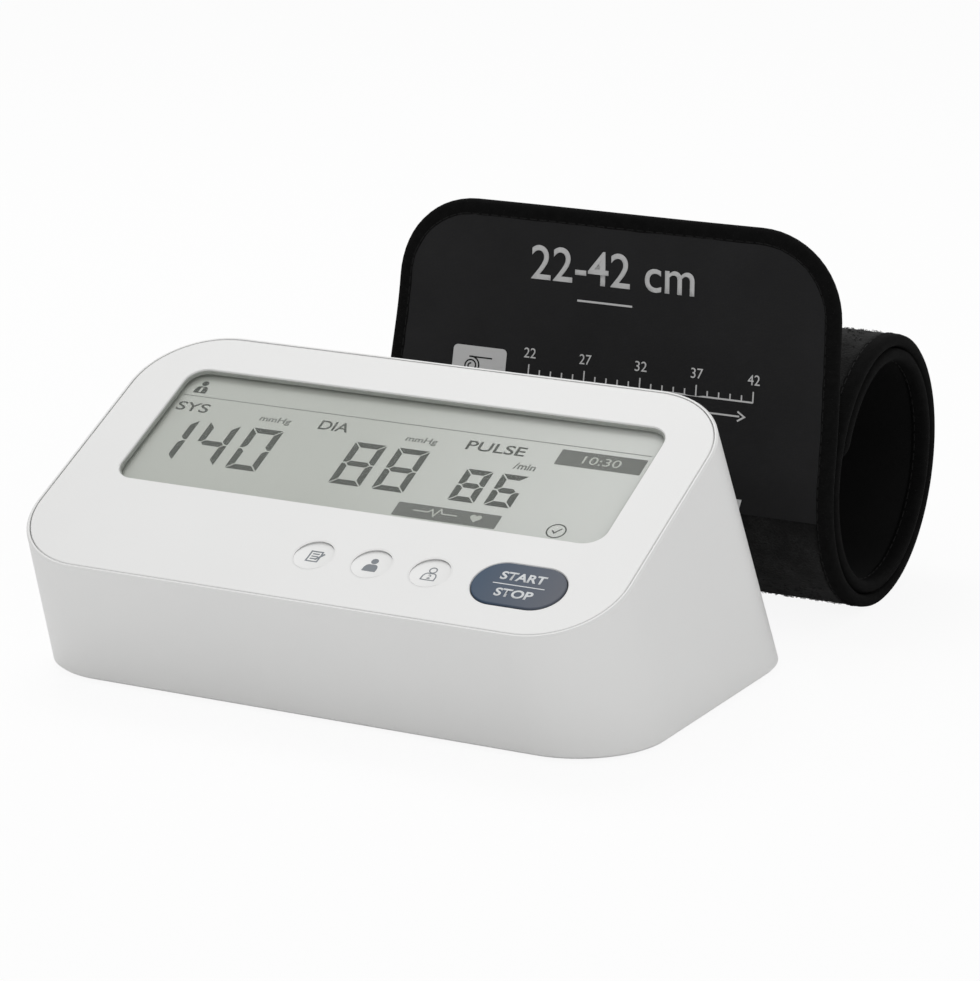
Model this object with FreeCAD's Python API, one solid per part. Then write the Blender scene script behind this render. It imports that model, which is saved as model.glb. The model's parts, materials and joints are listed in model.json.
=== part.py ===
import FreeCAD, Part

import math
import os

# Home blood pressure monitor with its arm cuff rolled up behind it, in millimetres.
# The origin is on the table, at the centre of the monitor's footprint.
# +Z is up, the display faces -Y and the buttons are along the front edge.

# Cuts run past the solid by this much
OVERRUN = 5.0
# Points closer than this are the same point
TINY = 0.001
QUARTER_ANGLE = 90.0

# Face and walls of the housing
FACE_WIDTH = 184.0
FACE_LENGTH = 102.8
FACE_CORNER = 24.4
FACE_TILT_ANGLE = 25.4
FRONT_EDGE_HEIGHT = 38.1
RIM_WIDTH = 0.9
RIM_BEVEL = 0.45
SIDE_DRAFT_ANGLE = 2.76
FRONT_DRAFT_ANGLE = 5.7
WALL = 2.4
FOOT_EDGE_BEVEL = 0.7

# Panel set into the rim, and the deck that carries it
PANEL_THICK = 1.6
PANEL_SEAM = 0.25
PANEL_BEVEL = 0.25
DECK_THICK = 2.0

# Display
WINDOW_LEFT_MARGIN = 15.85
WINDOW_RIGHT_MARGIN = 14.85
WINDOW_REAR_MARGIN = 14.85
BUTTON_STRIP = 38.05
WINDOW_CORNER = 6.0
LENS_THICK = 0.8
LCD_BORDER = 3.2
LCD_GAP = 0.1
LCD_THICK = 2.0
LCD_CORNER = 2.0
SEAT_CLEARANCE = 0.2
FRAME_RAIL = 3.0
FRAME_LEDGE = 2.0
STRIP_WIDTH = 2.4
STRIP_LENGTH_SHARE = 0.76

# Buttons and their switches
BUTTON_RADIUS = 5.75
BUTTON_GAP = 0.25
BUTTON_PITCH = 17.9
BUTTON_ROW_MARGIN = 18.2
BUTTON_DISH = 0.7
BUTTON_BALL_RADIUS = 40.0
BUTTON_LIP = 0.4
BUTTON_TRAVEL = 0.7
START_SIDE_MARGIN = 29.6
START_SPACING = 26.6
START_LENGTH = 27.0
START_WIDTH = 16.3
START_PROUD = 0.25
START_ROUNDING = 0.4
FLANGE_REACH = 1.2
FLANGE_THICK = 0.8
FLANGE_GAP = 0.1
SWITCH_SIDE = 6.0
SWITCH_HEIGHT = 3.2
PLUNGER_RADIUS = 1.7
PLUNGER_RISE = 0.9
PLUNGER_SEAT = 0.5
PLUNGER_CLEARANCE = 0.15
WELL_SPARE = 0.3

# Circuit board
BOARD_WIDTH = 138.0
BOARD_THICK = 1.6
BOARD_FRONT_MARGIN = 0.8
BOARD_CORNER = 3.0
BOARD_BOSS_RADIUS = 3.2
BOARD_BOSS_INSET = 6.0
BOARD_BOSS_GAP = 1.0
BOARD_SCREW_RADIUS = 1.1
BOARD_SCREW_HEAD_RADIUS = 2.2
BOARD_SCREW_HEAD = 1.3
BOARD_SCREW_BITE = 3.0
SCREW_CLEARANCE = 0.1
BUZZER_RADIUS = 6.0
BUZZER_HEIGHT = 4.5
SENSOR_SIDE = 8.0
SENSOR_HEIGHT = 4.0

# Parts under the board: place and size as shares of the board's width and length, height in millimetres
BOARD_PART_SHARES = (
    (0.04, -0.06, 0.10, 0.16), (-0.30, -0.22, 0.05, 0.07), (0.24, -0.05, 0.06, 0.05),
    (-0.10, 0.20, 0.04, 0.06), (0.30, 0.22, 0.11, 0.06), (0.36, -0.24, 0.03, 0.09),
    (-0.20, -0.02, 0.03, 0.04))
BOARD_PART_HEIGHT = 1.8
BUZZER_SHARES = (-0.16, -0.28)

# Base cover and feet
FOOT_STAND = 0.8
FOOT_POCKET = 0.8
FOOT_RADIUS = 6.0
FOOT_CLEARANCE = 0.1
FOOT_FROM_SCREW = 17.0
BASE_THICK = 2.6
BASE_CLEARANCE = 0.2
POST_RADIUS = 3.6
POST_SIDE_INSET = 14.0
POST_FRONT_INSET = 13.0
POST_REAR_INSET = 23.0
CASE_SCREW_RADIUS = 1.4
CASE_SCREW_HEAD_RADIUS = 2.8
CASE_SCREW_HEAD = 1.4
CASE_SCREW_LENGTH = 10.0

# Battery bay, its door and four AA cells
CELL_COUNT = 4
CELL_RADIUS = 7.25
CELL_LENGTH = 49.2
CELL_NUB_RADIUS = 2.7
CELL_NUB = 1.3
CELL_GAP = 0.3
CONTACT_THICK = 0.4
CONTACT_WIDTH = 10.0
CONTACT_TAB = 1.2
SPRING_ROOM = 4.2
SPRING_WIDTH = 6.0
BAY_WALL = 1.6
BAY_SETBACK = 6.0
DOOR_THICK = 1.8
DOOR_GAP = 0.25
DOOR_TAB_WIDTH = 2.8
DOOR_TAB_THICK = 1.1
DOOR_TAB_REACH = 1.6
DOOR_TAB_CLEARANCE = 0.2
LATCH_WIDTH = 12.0
LATCH_LENGTH = 9.0
LATCH_SLIT = 0.8
LATCH_UPSTAND = 2.0
LATCH_WALL = 1.0
LATCH_SCOOP_RADIUS = 5.0
LATCH_SCOOP = 0.6

# Air pump
MOTOR_RADIUS = 12.0
MOTOR_LENGTH = 30.0
MOTOR_BOSS_RADIUS = 4.0
MOTOR_BOSS = 2.0
SLEEVE_THICK = 1.5
SLEEVE_LENGTH = 24.0
PUMP_HOUSING_LENGTH = 22.0
PUMP_HOUSING_WALL = 2.0
DIAPHRAGM_THICK = 1.5
DIAPHRAGM_CUP_RADIUS = 3.0
DIAPHRAGM_CUP = 4.0
DIAPHRAGM_CUPS = 3
PUMP_CAP_LENGTH = 9.0
PUMP_CHAMBER = 3.5
SHAFT_RADIUS = 1.0
SHAFT_CLEARANCE = 0.1
SHAFT_IN_MOTOR = 20.0
SHAFT_OUT = 9.0
CRANK_RADIUS = 4.5
CRANK_OFFSET = 1.5
CRANK_THICK = 4.0
PUMP_GAP = 3.0
SADDLE_HEIGHT = 1.5
SADDLE_THICK = 3.0
SADDLE_CLEARANCE = 0.05
SADDLE_HUG_SHARE = 0.55
SADDLE_HALF_WIDTH_SHARE = 0.85

# Release valve
VALVE_RADIUS = 7.0
VALVE_LENGTH = 20.0
VALVE_PLUNGER_RADIUS = 2.4
VALVE_PLUNGER_LENGTH = 12.0
VALVE_BORE_CLEARANCE = 0.15
VALVE_SEAT = 2.5
VALVE_GAP = 6.0

# Air line
TUBE_RADIUS = 2.4
TUBE_BORE_RADIUS = 1.25
NIPPLE_CLEARANCE = 0.05
NIPPLE_LENGTH = 6.0
NIPPLE_BORE_RADIUS = 0.7
TUBE_END_GAP = 0.4
AIR_LINE_GAP = 3.2
MANIFOLD_SIDE = 8.0
NIPPLE_APART = 2.0
SENSOR_RISE = 14.0
SENSOR_TUBE_BEND = 16.0

# Sockets on the left wall
JACK_BORE_RADIUS = 4.0
JACK_BORE_DEPTH = 12.0
JACK_RADIUS = 6.2
JACK_SHOULDER_RADIUS = 7.2
JACK_SHOULDER = 2.0
JACK_PROUD = 0.6
JACK_BACK = 3.0
JACK_HOLE_CLEARANCE = 0.2
JACK_WALL_GAP = 0.5
POWER_SPACING = 24.0
POWER_COLLAR_RADIUS = 4.6
POWER_SOCKET_RADIUS = 2.8
POWER_SOCKET_DEPTH = 9.0
POWER_PIN_RADIUS = 1.0
POWER_BODY_WIDTH = 11.0
POWER_BODY_LENGTH = 12.0

# Arm cuff, rolled about an axis along X
CUFF_WIDTH = 144.0
CUFF_CENTRE_X = 26.1
CUFF_STANDOFF = 10.4
ROLL_RADIUS = 41.7
CUFF_BINDING_THICK = 3.8
CUFF_THICK = 2.8
CUFF_LAP_GAP = 0.4
BINDING_WIDTH = 5.0
FLAP_CORNER = 23.0
FLAP_END_TRIM = 0.3
FLAP_TOP_LENGTH = 45.3
FLAP_TOP_ANGLE = 12.0
FLAP_STRAIGHT = 26.0
FLAP_LEAN_ANGLE = 8.0
INNER_END_ANGLE = 165.0
CLOTH_LAYER = 0.4
POCKET_THICK = 1.4
CLOTH_CLEARANCE = 0.05
FACE_PANEL_LAP = 13.0
LOOP_CLOTH_SHARE = 0.85
HOOK_PATCH_START = 8.0
HOOK_PATCH_LENGTH = 36.0
HOOK_PATCH_SIDE = 14.0
HOOK_PATCH_CORNER = 5.0
POCKET_MARGIN = 20.0
BLADDER_SIDE = 10.0
CURLER_SIDE = 16.0
PORT_ANGLE = 35.0
PORT_RADIUS = 5.0
PORT_RISE = 4.5
PORT_LENGTH = 18.0
PORT_INSET = 11.0
PORT_NIPPLE_RADIUS = 2.0
PORT_NIPPLE_LENGTH = 8.0
PORT_BORE_RADIUS = 1.2

X_AXIS = FreeCAD.Vector(1, 0, 0)
Y_AXIS = FreeCAD.Vector(0, 1, 0)
Z_AXIS = FreeCAD.Vector(0, 0, 1)

# Place of the tilted face, so that the footprint is centred on the origin
sin_tilt = math.sin(math.radians(FACE_TILT_ANGLE))
cos_tilt = math.cos(math.radians(FACE_TILT_ANGLE))
side_slope = math.tan(math.radians(SIDE_DRAFT_ANGLE))
front_slope = math.tan(math.radians(FRONT_DRAFT_ANGLE))
face_height = FRONT_EDGE_HEIGHT + FACE_LENGTH / 2 * sin_tilt
rim_reach = FACE_LENGTH / 2 + RIM_WIDTH
front_depth = (face_height - rim_reach * sin_tilt) / (cos_tilt + front_slope * sin_tilt)
rear_depth = (face_height + rim_reach * sin_tilt) / cos_tilt
front_foot = -(rim_reach + front_depth * front_slope) * cos_tilt + front_depth * sin_tilt
rear_foot = rim_reach * cos_tilt + rear_depth * sin_tilt
face_y = -(front_foot + rear_foot) / 2
base_front = front_foot + face_y
base_rear = rear_foot + face_y
FACE = FreeCAD.Placement(FreeCAD.Vector(0, face_y, face_height), FreeCAD.Rotation(X_AXIS, FACE_TILT_ANGLE))
full_depth = rear_depth + OVERRUN
room = FACE_WIDTH + FACE_LENGTH

# Depths below the face
deck_bottom = PANEL_THICK + DECK_THICK
lcd_top = PANEL_THICK + LENS_THICK + LCD_GAP
lcd_bottom = lcd_top + LCD_THICK
flange_top = deck_bottom + FLANGE_GAP
flange_bottom = flange_top + FLANGE_THICK
switch_top = flange_bottom + PLUNGER_RISE
board_top = switch_top + SWITCH_HEIGHT
board_bottom = board_top + BOARD_THICK

# Window and buttons across the face
window_width = FACE_WIDTH - WINDOW_LEFT_MARGIN - WINDOW_RIGHT_MARGIN
window_length = FACE_LENGTH - WINDOW_REAR_MARGIN - BUTTON_STRIP
window_u = (WINDOW_LEFT_MARGIN - WINDOW_RIGHT_MARGIN) / 2
window_v = (BUTTON_STRIP - WINDOW_REAR_MARGIN) / 2
button_v = BUTTON_ROW_MARGIN - FACE_LENGTH / 2
start_u = FACE_WIDTH / 2 - START_SIDE_MARGIN
guest_u = start_u - START_SPACING
button_us = {"memory": guest_u - 2 * BUTTON_PITCH, "user": guest_u - BUTTON_PITCH, "guest": guest_u,
             "start_stop": start_u}

# Display sizes that follow the window
lcd_width = window_width + 2 * LCD_BORDER
lcd_length = window_length + 2 * LCD_BORDER
frame_width = lcd_width + 2 * FRAME_RAIL
frame_length = lcd_length + 2 * FRAME_RAIL
frame_rear = window_v + frame_length / 2

# Board outline and its screws, two in bosses of the deck in front of the buttons and two in the display frame
front_boss_v = button_v - BUTTON_RADIUS - FLANGE_REACH - BOARD_BOSS_GAP - BOARD_BOSS_RADIUS
rear_boss_v = frame_rear - FRAME_RAIL / 2
board_front = front_boss_v - BOARD_BOSS_RADIUS - BOARD_FRONT_MARGIN
board_v = (board_front + frame_rear) / 2
board_length = frame_rear - board_front
boss_u = BOARD_WIDTH / 2 - BOARD_BOSS_INSET
front_screws = [(-boss_u, front_boss_v), (guest_u, front_boss_v)]
rear_screws = [(-boss_u, rear_boss_v), (boss_u, rear_boss_v)]

# Base, posts and feet
base_top = FOOT_STAND + BASE_THICK
side_foot = FACE_WIDTH / 2 + RIM_WIDTH + front_depth * side_slope
post_x = side_foot - POST_SIDE_INSET
post_ys = (base_front + POST_FRONT_INSET, base_rear - POST_REAR_INSET)
post_places = [(side * post_x, y) for y in post_ys for side in (-1, 1)]
foot_places = [(side * (post_x - FOOT_FROM_SCREW), y) for y in post_ys for side in (-1, 1)]

# Battery bay
cell_pitch = 2 * CELL_RADIUS + CELL_GAP
bay_half = (CELL_COUNT * cell_pitch + CELL_GAP) / 2
bay_front = base_front + BAY_SETBACK
bay_rear = bay_front + CONTACT_THICK + CELL_NUB + CELL_LENGTH + SPRING_ROOM + CONTACT_THICK
door_top = FOOT_STAND + DOOR_THICK
cell_z = door_top + CELL_GAP + CELL_RADIUS
bay_ceiling = cell_z + CELL_RADIUS + CELL_GAP
hinge_radius = DOOR_THICK / 2
hinge_y = bay_rear - DOOR_GAP - hinge_radius
hinge_z = FOOT_STAND + hinge_radius
tab_bottom = base_top + DOOR_TAB_CLEARANCE
tab_top = tab_bottom + DOOR_TAB_THICK
tab_rear = bay_rear + DOOR_TAB_REACH
tab_sweep = math.hypot(tab_rear - hinge_y, tab_top - hinge_z)

# Pump, valve and air line
pump_radius = MOTOR_RADIUS + SLEEVE_THICK
pump_x = bay_half + BAY_WALL + PUMP_GAP + pump_radius
pump_z = base_top + SADDLE_HEIGHT + pump_radius
air_y = bay_rear + BAY_WALL + AIR_LINE_GAP
cap_y = air_y - PUMP_CAP_LENGTH / 2
housing_y = cap_y - PUMP_HOUSING_LENGTH
motor_y = housing_y - MOTOR_LENGTH
sleeve_y = motor_y + (MOTOR_LENGTH - SLEEVE_LENGTH) / 2
valve_x = -(bay_half + BAY_WALL + VALVE_GAP + VALVE_RADIUS)
valve_end_y = air_y - MANIFOLD_SIDE / 2 - 2 * NIPPLE_LENGTH - NIPPLE_APART
valve_y = valve_end_y - VALVE_LENGTH
nipple_radius = TUBE_BORE_RADIUS - NIPPLE_CLEARANCE
manifold = FreeCAD.Vector(valve_x, air_y, pump_z)
sensor_turn = manifold + Z_AXIS * SENSOR_RISE
sensor_place = FACE.inverse().multVec(sensor_turn)
sensor_face = board_bottom + SENSOR_HEIGHT


def side_wall(y, z):
    """Distance from the middle to the outer surface of a side wall at one place."""
    depth = -FACE.inverse().multVec(FreeCAD.Vector(0, y, z)).z
    return FACE_WIDTH / 2 + RIM_WIDTH + depth * side_slope


jack_mouth = -side_wall(air_y, pump_z) - JACK_PROUD
jack_back = jack_mouth + JACK_BORE_DEPTH + JACK_BACK
power_y = air_y - POWER_SPACING
power_mouth = -side_wall(power_y, pump_z)

# Cuff roll
cuff_left = CUFF_CENTRE_X - CUFF_WIDTH / 2
cuff_right = CUFF_CENTRE_X + CUFF_WIDTH / 2
roll_y = base_rear + CUFF_STANDOFF + ROLL_RADIUS
lap_step = (CUFF_BINDING_THICK + CUFF_LAP_GAP) / 2
roll_mid = ROLL_RADIUS - CUFF_BINDING_THICK / 2
# Turn in degrees (positive to the left) and radius of each stretch of the strip, from the flap's top inwards
cuff_arcs = [(-FLAP_TOP_ANGLE, FLAP_TOP_LENGTH / math.radians(FLAP_TOP_ANGLE)), (0.0, FLAP_STRAIGHT)]
cuff_arcs += [(2 * QUARTER_ANGLE + FLAP_LEAN_ANGLE, roll_mid), (2 * QUARTER_ANGLE, roll_mid - lap_step)]
cuff_arcs += [(2 * QUARTER_ANGLE, roll_mid - 2 * lap_step), (INNER_END_ANGLE, roll_mid - 3 * lap_step)]
stretches = [math.radians(abs(turn)) * size if turn else size for turn, size in cuff_arcs]
cuff_length = sum(stretches)
face_panel_end = FLAP_TOP_LENGTH + FLAP_STRAIGHT + FACE_PANEL_LAP
loop_cloth_end = sum(stretches[:3]) + stretches[3] * LOOP_CLOTH_SHARE
pocket_start = sum(stretches[:4]) + POCKET_MARGIN
pocket_end = cuff_length - POCKET_MARGIN


def point(x, y, z):
    """One place in space."""
    return FreeCAD.Vector(x, y, z)


def block(x_limits, y_limits, z_limits):
    """Box between three pairs of limits."""
    sizes = [high - low for low, high in (x_limits, y_limits, z_limits)]
    return Part.makeBox(*sizes, point(x_limits[0], y_limits[0], z_limits[0]))


def rod(radius, start, end):
    """Round bar between two points."""
    return Part.makeCylinder(radius, start.distanceToPoint(end), start, end - start)


def rounded_wire(left, right, front, rear, corner, height):
    """Rectangle with round corners, flat at one height."""
    centres = ((right - corner, rear - corner), (left + corner, rear - corner),
               (left + corner, front + corner), (right - corner, front + corner))
    arcs = []
    for turn, (x, y) in enumerate(centres):
        start_angle = QUARTER_ANGLE * turn
        arcs.append(Part.makeCircle(corner, point(x, y, height), Z_AXIS, start_angle,
                                    start_angle + QUARTER_ANGLE))
    edges = []
    for arc, following in zip(arcs, arcs[1:] + arcs[:1]):
        start = arc.valueAt(arc.LastParameter)
        end = following.valueAt(following.FirstParameter)
        edges.append(arc)
        if start.distanceToPoint(end) > TINY:
            edges.append(Part.makeLine(start, end))
    return Part.Wire(edges)


def plate(u, v, width, length, corner, top, bottom):
    """Plate with round corners, parallel to the face, between two depths."""
    wire = rounded_wire(u - width / 2, u + width / 2, v - length / 2, v + length / 2, corner, -bottom)
    return Part.Face(wire).extrude(Z_AXIS * (bottom - top))


def square_plate(u, v, width, length, top, bottom):
    """Plate with square corners, parallel to the face, between two depths."""
    return block((u - width / 2, u + width / 2), (v - length / 2, v + length / 2), (-bottom, -top))


def stud(u, v, radius, top, bottom):
    """Round bar square to the face, between two depths."""
    return rod(radius, point(u, v, -bottom), point(u, v, -top))


def from_face(shape):
    """Moves a shape from the face's own frame into place."""
    placed = shape.copy()
    placed.Placement = FACE.multiply(placed.Placement)
    return placed


def edges_at_depth(shape, depth):
    """Edges that lie flat at one depth below the face."""
    return [edge for edge in shape.Edges
            if abs(edge.BoundBox.ZMin + depth) < TINY and abs(edge.BoundBox.ZMax + depth) < TINY]


def housing_corners(inset, depth):
    """Corners of the tapered housing at one depth, moved in from its outer surface."""
    half = FACE_WIDTH / 2 + RIM_WIDTH + depth * side_slope - inset
    front = -rim_reach - depth * front_slope + inset
    rear = rim_reach - inset
    return [point(x, y, -depth) for x, y in ((-half, front), (half, front), (half, rear), (-half, rear))]


def housing_block(inset, top, bottom):
    """Solid prism of the tapered housing between two depths, with round corners."""
    upper = housing_corners(inset, top)
    lower = housing_corners(inset, bottom)
    rings = [upper, lower]
    for number in range(len(upper)):
        rings.append([upper[number - 1], upper[number], lower[number], lower[number - 1]])
    walls = [Part.Face(Part.makePolygon(ring + ring[:1])) for ring in rings]
    prism = Part.makeSolid(Part.makeShell(walls))
    uprights = [edge for edge in prism.Edges if edge.BoundBox.ZLength > TINY]
    return prism.makeFillet(FACE_CORNER + RIM_WIDTH - inset, uprights)


def button_holes(grow, top, bottom):
    """Tools for the three round openings and the long one, wider than the caps by one gap."""
    tools = [stud(u, button_v, BUTTON_RADIUS + grow, top, bottom)
             for name, u in button_us.items() if name != "start_stop"]
    width = START_WIDTH + 2 * grow
    tools.append(plate(start_u, button_v, START_LENGTH + 2 * grow, width, width / 2, top, bottom))
    return tools


def upper_case():
    """White housing: tapered walls, rim, deck under the panel, and the posts that take the screws."""
    shell = housing_block(0, 0, full_depth)
    shell = from_face(shell.makeChamfer(RIM_BEVEL, edges_at_depth(shell, 0)))
    shell = shell.common(block((-room, room), (-room, room), (FOOT_STAND, room)))
    foot_edges = [edge for edge in shell.Edges if edge.BoundBox.ZMax < FOOT_STAND + TINY]
    shell = shell.makeChamfer(FOOT_EDGE_BEVEL, foot_edges)
    tools = [housing_block(WALL, deck_bottom, full_depth)]
    tools.append(plate(0, 0, FACE_WIDTH, FACE_LENGTH, FACE_CORNER, -OVERRUN, PANEL_THICK))
    tools.append(plate(window_u, window_v, lcd_width + 2 * SEAT_CLEARANCE, lcd_length + 2 * SEAT_CLEARANCE,
                       LCD_CORNER, 0, deck_bottom + OVERRUN))
    tools += button_holes(BUTTON_GAP, 0, deck_bottom + OVERRUN)
    shell = shell.cut([from_face(tool) for tool in tools])
    bosses = [stud(u, v, BOARD_BOSS_RADIUS, PANEL_THICK, board_top) for u, v in front_screws]
    shell = shell.fuse([from_face(boss) for boss in bosses] + case_posts())
    holes = [from_face(stud(u, v, BOARD_SCREW_RADIUS + SCREW_CLEARANCE, board_top - BOARD_SCREW_BITE,
                            board_top + OVERRUN)) for u, v in front_screws]
    holes += [rod(CASE_SCREW_RADIUS + SCREW_CLEARANCE, point(x, y, base_top - OVERRUN),
                  point(x, y, base_top + CASE_SCREW_LENGTH)) for x, y in post_places]
    holes.append(rod(JACK_RADIUS + JACK_HOLE_CLEARANCE, point(jack_mouth - OVERRUN, air_y, pump_z),
                     point(jack_back, air_y, pump_z)))
    holes.append(rod(POWER_COLLAR_RADIUS + JACK_HOLE_CLEARANCE, point(power_mouth - OVERRUN, power_y, pump_z),
                     point(power_mouth + POWER_BODY_LENGTH, power_y, pump_z)))
    return shell.cut(holes).removeSplitter()


def case_posts():
    """Four upright posts that end in the deck or in the leaning rear wall."""
    limits = from_face(housing_block(WALL / 2, deck_bottom - DECK_THICK / 2, full_depth))
    return [rod(POST_RADIUS, point(x, y, base_top), point(x, y, room)).common(limits) for x, y in post_places]


def face_panel():
    """Flat panel in the rim, with the window and the button openings."""
    seam = 2 * PANEL_SEAM
    panel = plate(0, 0, FACE_WIDTH - seam, FACE_LENGTH - seam, FACE_CORNER - PANEL_SEAM, 0, PANEL_THICK)
    panel = panel.cut(plate(window_u, window_v, window_width, window_length, WINDOW_CORNER, -OVERRUN,
                            PANEL_THICK + OVERRUN))
    panel = panel.cut(button_holes(BUTTON_GAP, -OVERRUN, PANEL_THICK + OVERRUN))
    return from_face(panel.makeChamfer(PANEL_BEVEL, edges_at_depth(panel, 0)))


def display_window():
    """Clear sheet under the panel's opening."""
    return from_face(plate(window_u, window_v, lcd_width, lcd_length, LCD_CORNER, PANEL_THICK,
                           PANEL_THICK + LENS_THICK))


def lcd_panel():
    """Display glass: a front pane, and a longer rear pane whose edges carry the contacts."""
    middle = lcd_top + LCD_THICK / 2
    front_pane = plate(window_u, window_v, lcd_width - FRAME_LEDGE, lcd_length - FRAME_LEDGE, LCD_CORNER / 2,
                       lcd_top, middle)
    rear_pane = plate(window_u, window_v, lcd_width, lcd_length, LCD_CORNER, middle, lcd_bottom)
    return from_face(front_pane.fuse(rear_pane).removeSplitter())


def lcd_frame():
    """Moulded frame between the board and the deck that holds the display glass on a ledge."""
    frame = plate(window_u, window_v, frame_width, frame_length, LCD_CORNER + FRAME_RAIL, deck_bottom,
                  board_top)
    pocket = plate(window_u, window_v, lcd_width + 2 * SEAT_CLEARANCE, lcd_length + 2 * SEAT_CLEARANCE,
                   LCD_CORNER, 0, lcd_bottom)
    opening = plate(window_u, window_v, lcd_width - 2 * FRAME_LEDGE, lcd_length - 2 * FRAME_LEDGE,
                    LCD_CORNER, 0, board_top + OVERRUN)
    holes = [stud(u, v, BOARD_SCREW_RADIUS + SCREW_CLEARANCE, board_top - BOARD_SCREW_BITE,
                  board_top + OVERRUN) for u, v in rear_screws]
    return from_face(frame.cut([pocket, opening] + holes))


def lcd_connectors():
    """Two rubber strips that join the display glass to the board."""
    reach = lcd_length / 2 - FRAME_LEDGE - STRIP_WIDTH / 2
    length = STRIP_LENGTH_SHARE * BOARD_WIDTH
    strips = [square_plate(window_u, window_v + side * reach, length, STRIP_WIDTH, lcd_bottom, board_top)
              for side in (-1, 1)]
    return from_face(Part.Compound(strips))


def round_button(u):
    """Round cap, scooped deeper towards its rear edge, with a flange that keeps it under the deck."""
    cap = stud(u, button_v, BUTTON_RADIUS, 0, flange_bottom)
    flange = stud(u, button_v, BUTTON_RADIUS + FLANGE_REACH, flange_top, flange_bottom)
    shift = BUTTON_BALL_RADIUS * BUTTON_DISH / (2 * BUTTON_RADIUS)
    rise = math.sqrt(BUTTON_BALL_RADIUS ** 2 - (shift + BUTTON_RADIUS - BUTTON_LIP) ** 2)
    ball = Part.makeSphere(BUTTON_BALL_RADIUS, point(u, button_v + shift, rise))
    return from_face(cap.fuse(flange).cut(ball).removeSplitter())


def start_stop_button():
    """Long button with half-round ends, standing a little above the panel."""
    cap = plate(start_u, button_v, START_LENGTH, START_WIDTH, START_WIDTH / 2, -START_PROUD, flange_bottom)
    cap = cap.makeFillet(START_ROUNDING, edges_at_depth(cap, -START_PROUD))
    width = START_WIDTH + 2 * FLANGE_REACH
    length = START_LENGTH + 2 * FLANGE_REACH
    flange = plate(start_u, button_v, length, width, width / 2, flange_top, flange_bottom)
    return from_face(cap.fuse(flange).removeSplitter())


def plunger(u):
    """Plunger of one switch, under its button."""
    return from_face(stud(u, button_v, PLUNGER_RADIUS, flange_bottom, switch_top + PLUNGER_SEAT))


def tact_switches():
    """Square housings on the board, each with a well for its plunger."""
    well_bottom = switch_top + PLUNGER_SEAT + BUTTON_TRAVEL + WELL_SPARE
    housings = []
    for u in button_us.values():
        housing = square_plate(u, button_v, SWITCH_SIDE, SWITCH_SIDE, switch_top, board_top)
        housings.append(housing.cut(stud(u, button_v, PLUNGER_RADIUS + PLUNGER_CLEARANCE, 0, well_bottom)))
    return from_face(Part.Compound(housings))


def main_board():
    """Circuit board parallel to the face, with four screw holes."""
    board = plate(0, board_v, BOARD_WIDTH, board_length, BOARD_CORNER, board_top, board_bottom)
    holes = [stud(u, v, BOARD_SCREW_RADIUS + SCREW_CLEARANCE, 0, board_bottom + OVERRUN)
             for u, v in front_screws + rear_screws]
    return from_face(board.cut(holes))


def board_screws():
    """Four screws that hold the board to the deck's bosses and to the display frame."""
    screws = []
    for u, v in front_screws + rear_screws:
        shank = stud(u, v, BOARD_SCREW_RADIUS, board_top - BOARD_SCREW_BITE + SCREW_CLEARANCE, board_bottom)
        head = stud(u, v, BOARD_SCREW_HEAD_RADIUS, board_bottom, board_bottom + BOARD_SCREW_HEAD)
        screws.append(shank.fuse(head))
    return from_face(Part.Compound(screws))


def board_parts():
    """Chips, connectors and capacitors under the board."""
    chips = []
    for u_share, v_share, width_share, length_share in BOARD_PART_SHARES:
        width = BOARD_WIDTH * width_share
        length = board_length * length_share
        chips.append(square_plate(BOARD_WIDTH * u_share, board_v + board_length * v_share, width, length,
                                  board_bottom, board_bottom + BOARD_PART_HEIGHT))
    return from_face(Part.Compound(chips))


def buzzer():
    """Round sounder under the board, with its sound hole."""
    u = BOARD_WIDTH * BUZZER_SHARES[0]
    v = board_v + board_length * BUZZER_SHARES[1]
    can = stud(u, v, BUZZER_RADIUS, board_bottom, board_bottom + BUZZER_HEIGHT)
    return from_face(can.cut(stud(u, v, BUZZER_RADIUS / 5, board_bottom + BUZZER_HEIGHT / 2,
                                  board_bottom + BUZZER_HEIGHT + OVERRUN)))


def nipple(start, direction):
    """Short pipe that a tube is pushed on."""
    return rod(nipple_radius, start, start + direction * NIPPLE_LENGTH)


def nipple_bore(start, direction, depth):
    """Tool for the hole through a nipple and into the piece behind it."""
    return rod(NIPPLE_BORE_RADIUS, start - direction * depth, start + direction * (NIPPLE_LENGTH + OVERRUN))


def pressure_sensor():
    """Sensor block under the board, with its nipple pointing away from the face."""
    u = sensor_place.x
    v = sensor_place.y
    body = square_plate(u, v, SENSOR_SIDE, SENSOR_SIDE, board_bottom, sensor_face)
    start = point(u, v, -sensor_face)
    body = body.fuse(nipple(start, -Z_AXIS))
    return from_face(body.cut(nipple_bore(start, -Z_AXIS, SENSOR_HEIGHT / 2)))


def saddle(x, y, z, radius):
    """Rib on the base that hugs a round body lying along Y."""
    half = radius * SADDLE_HALF_WIDTH_SHARE
    rib = block((x - half, x + half), (y, y + SADDLE_THICK), (FOOT_STAND + BASE_THICK / 2,
                                                             z - radius * (1 - SADDLE_HUG_SHARE)))
    return rib.cut(rod(radius + SADDLE_CLEARANCE, point(x, y - OVERRUN, z),
                       point(x, y + SADDLE_THICK + OVERRUN, z)))


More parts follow.
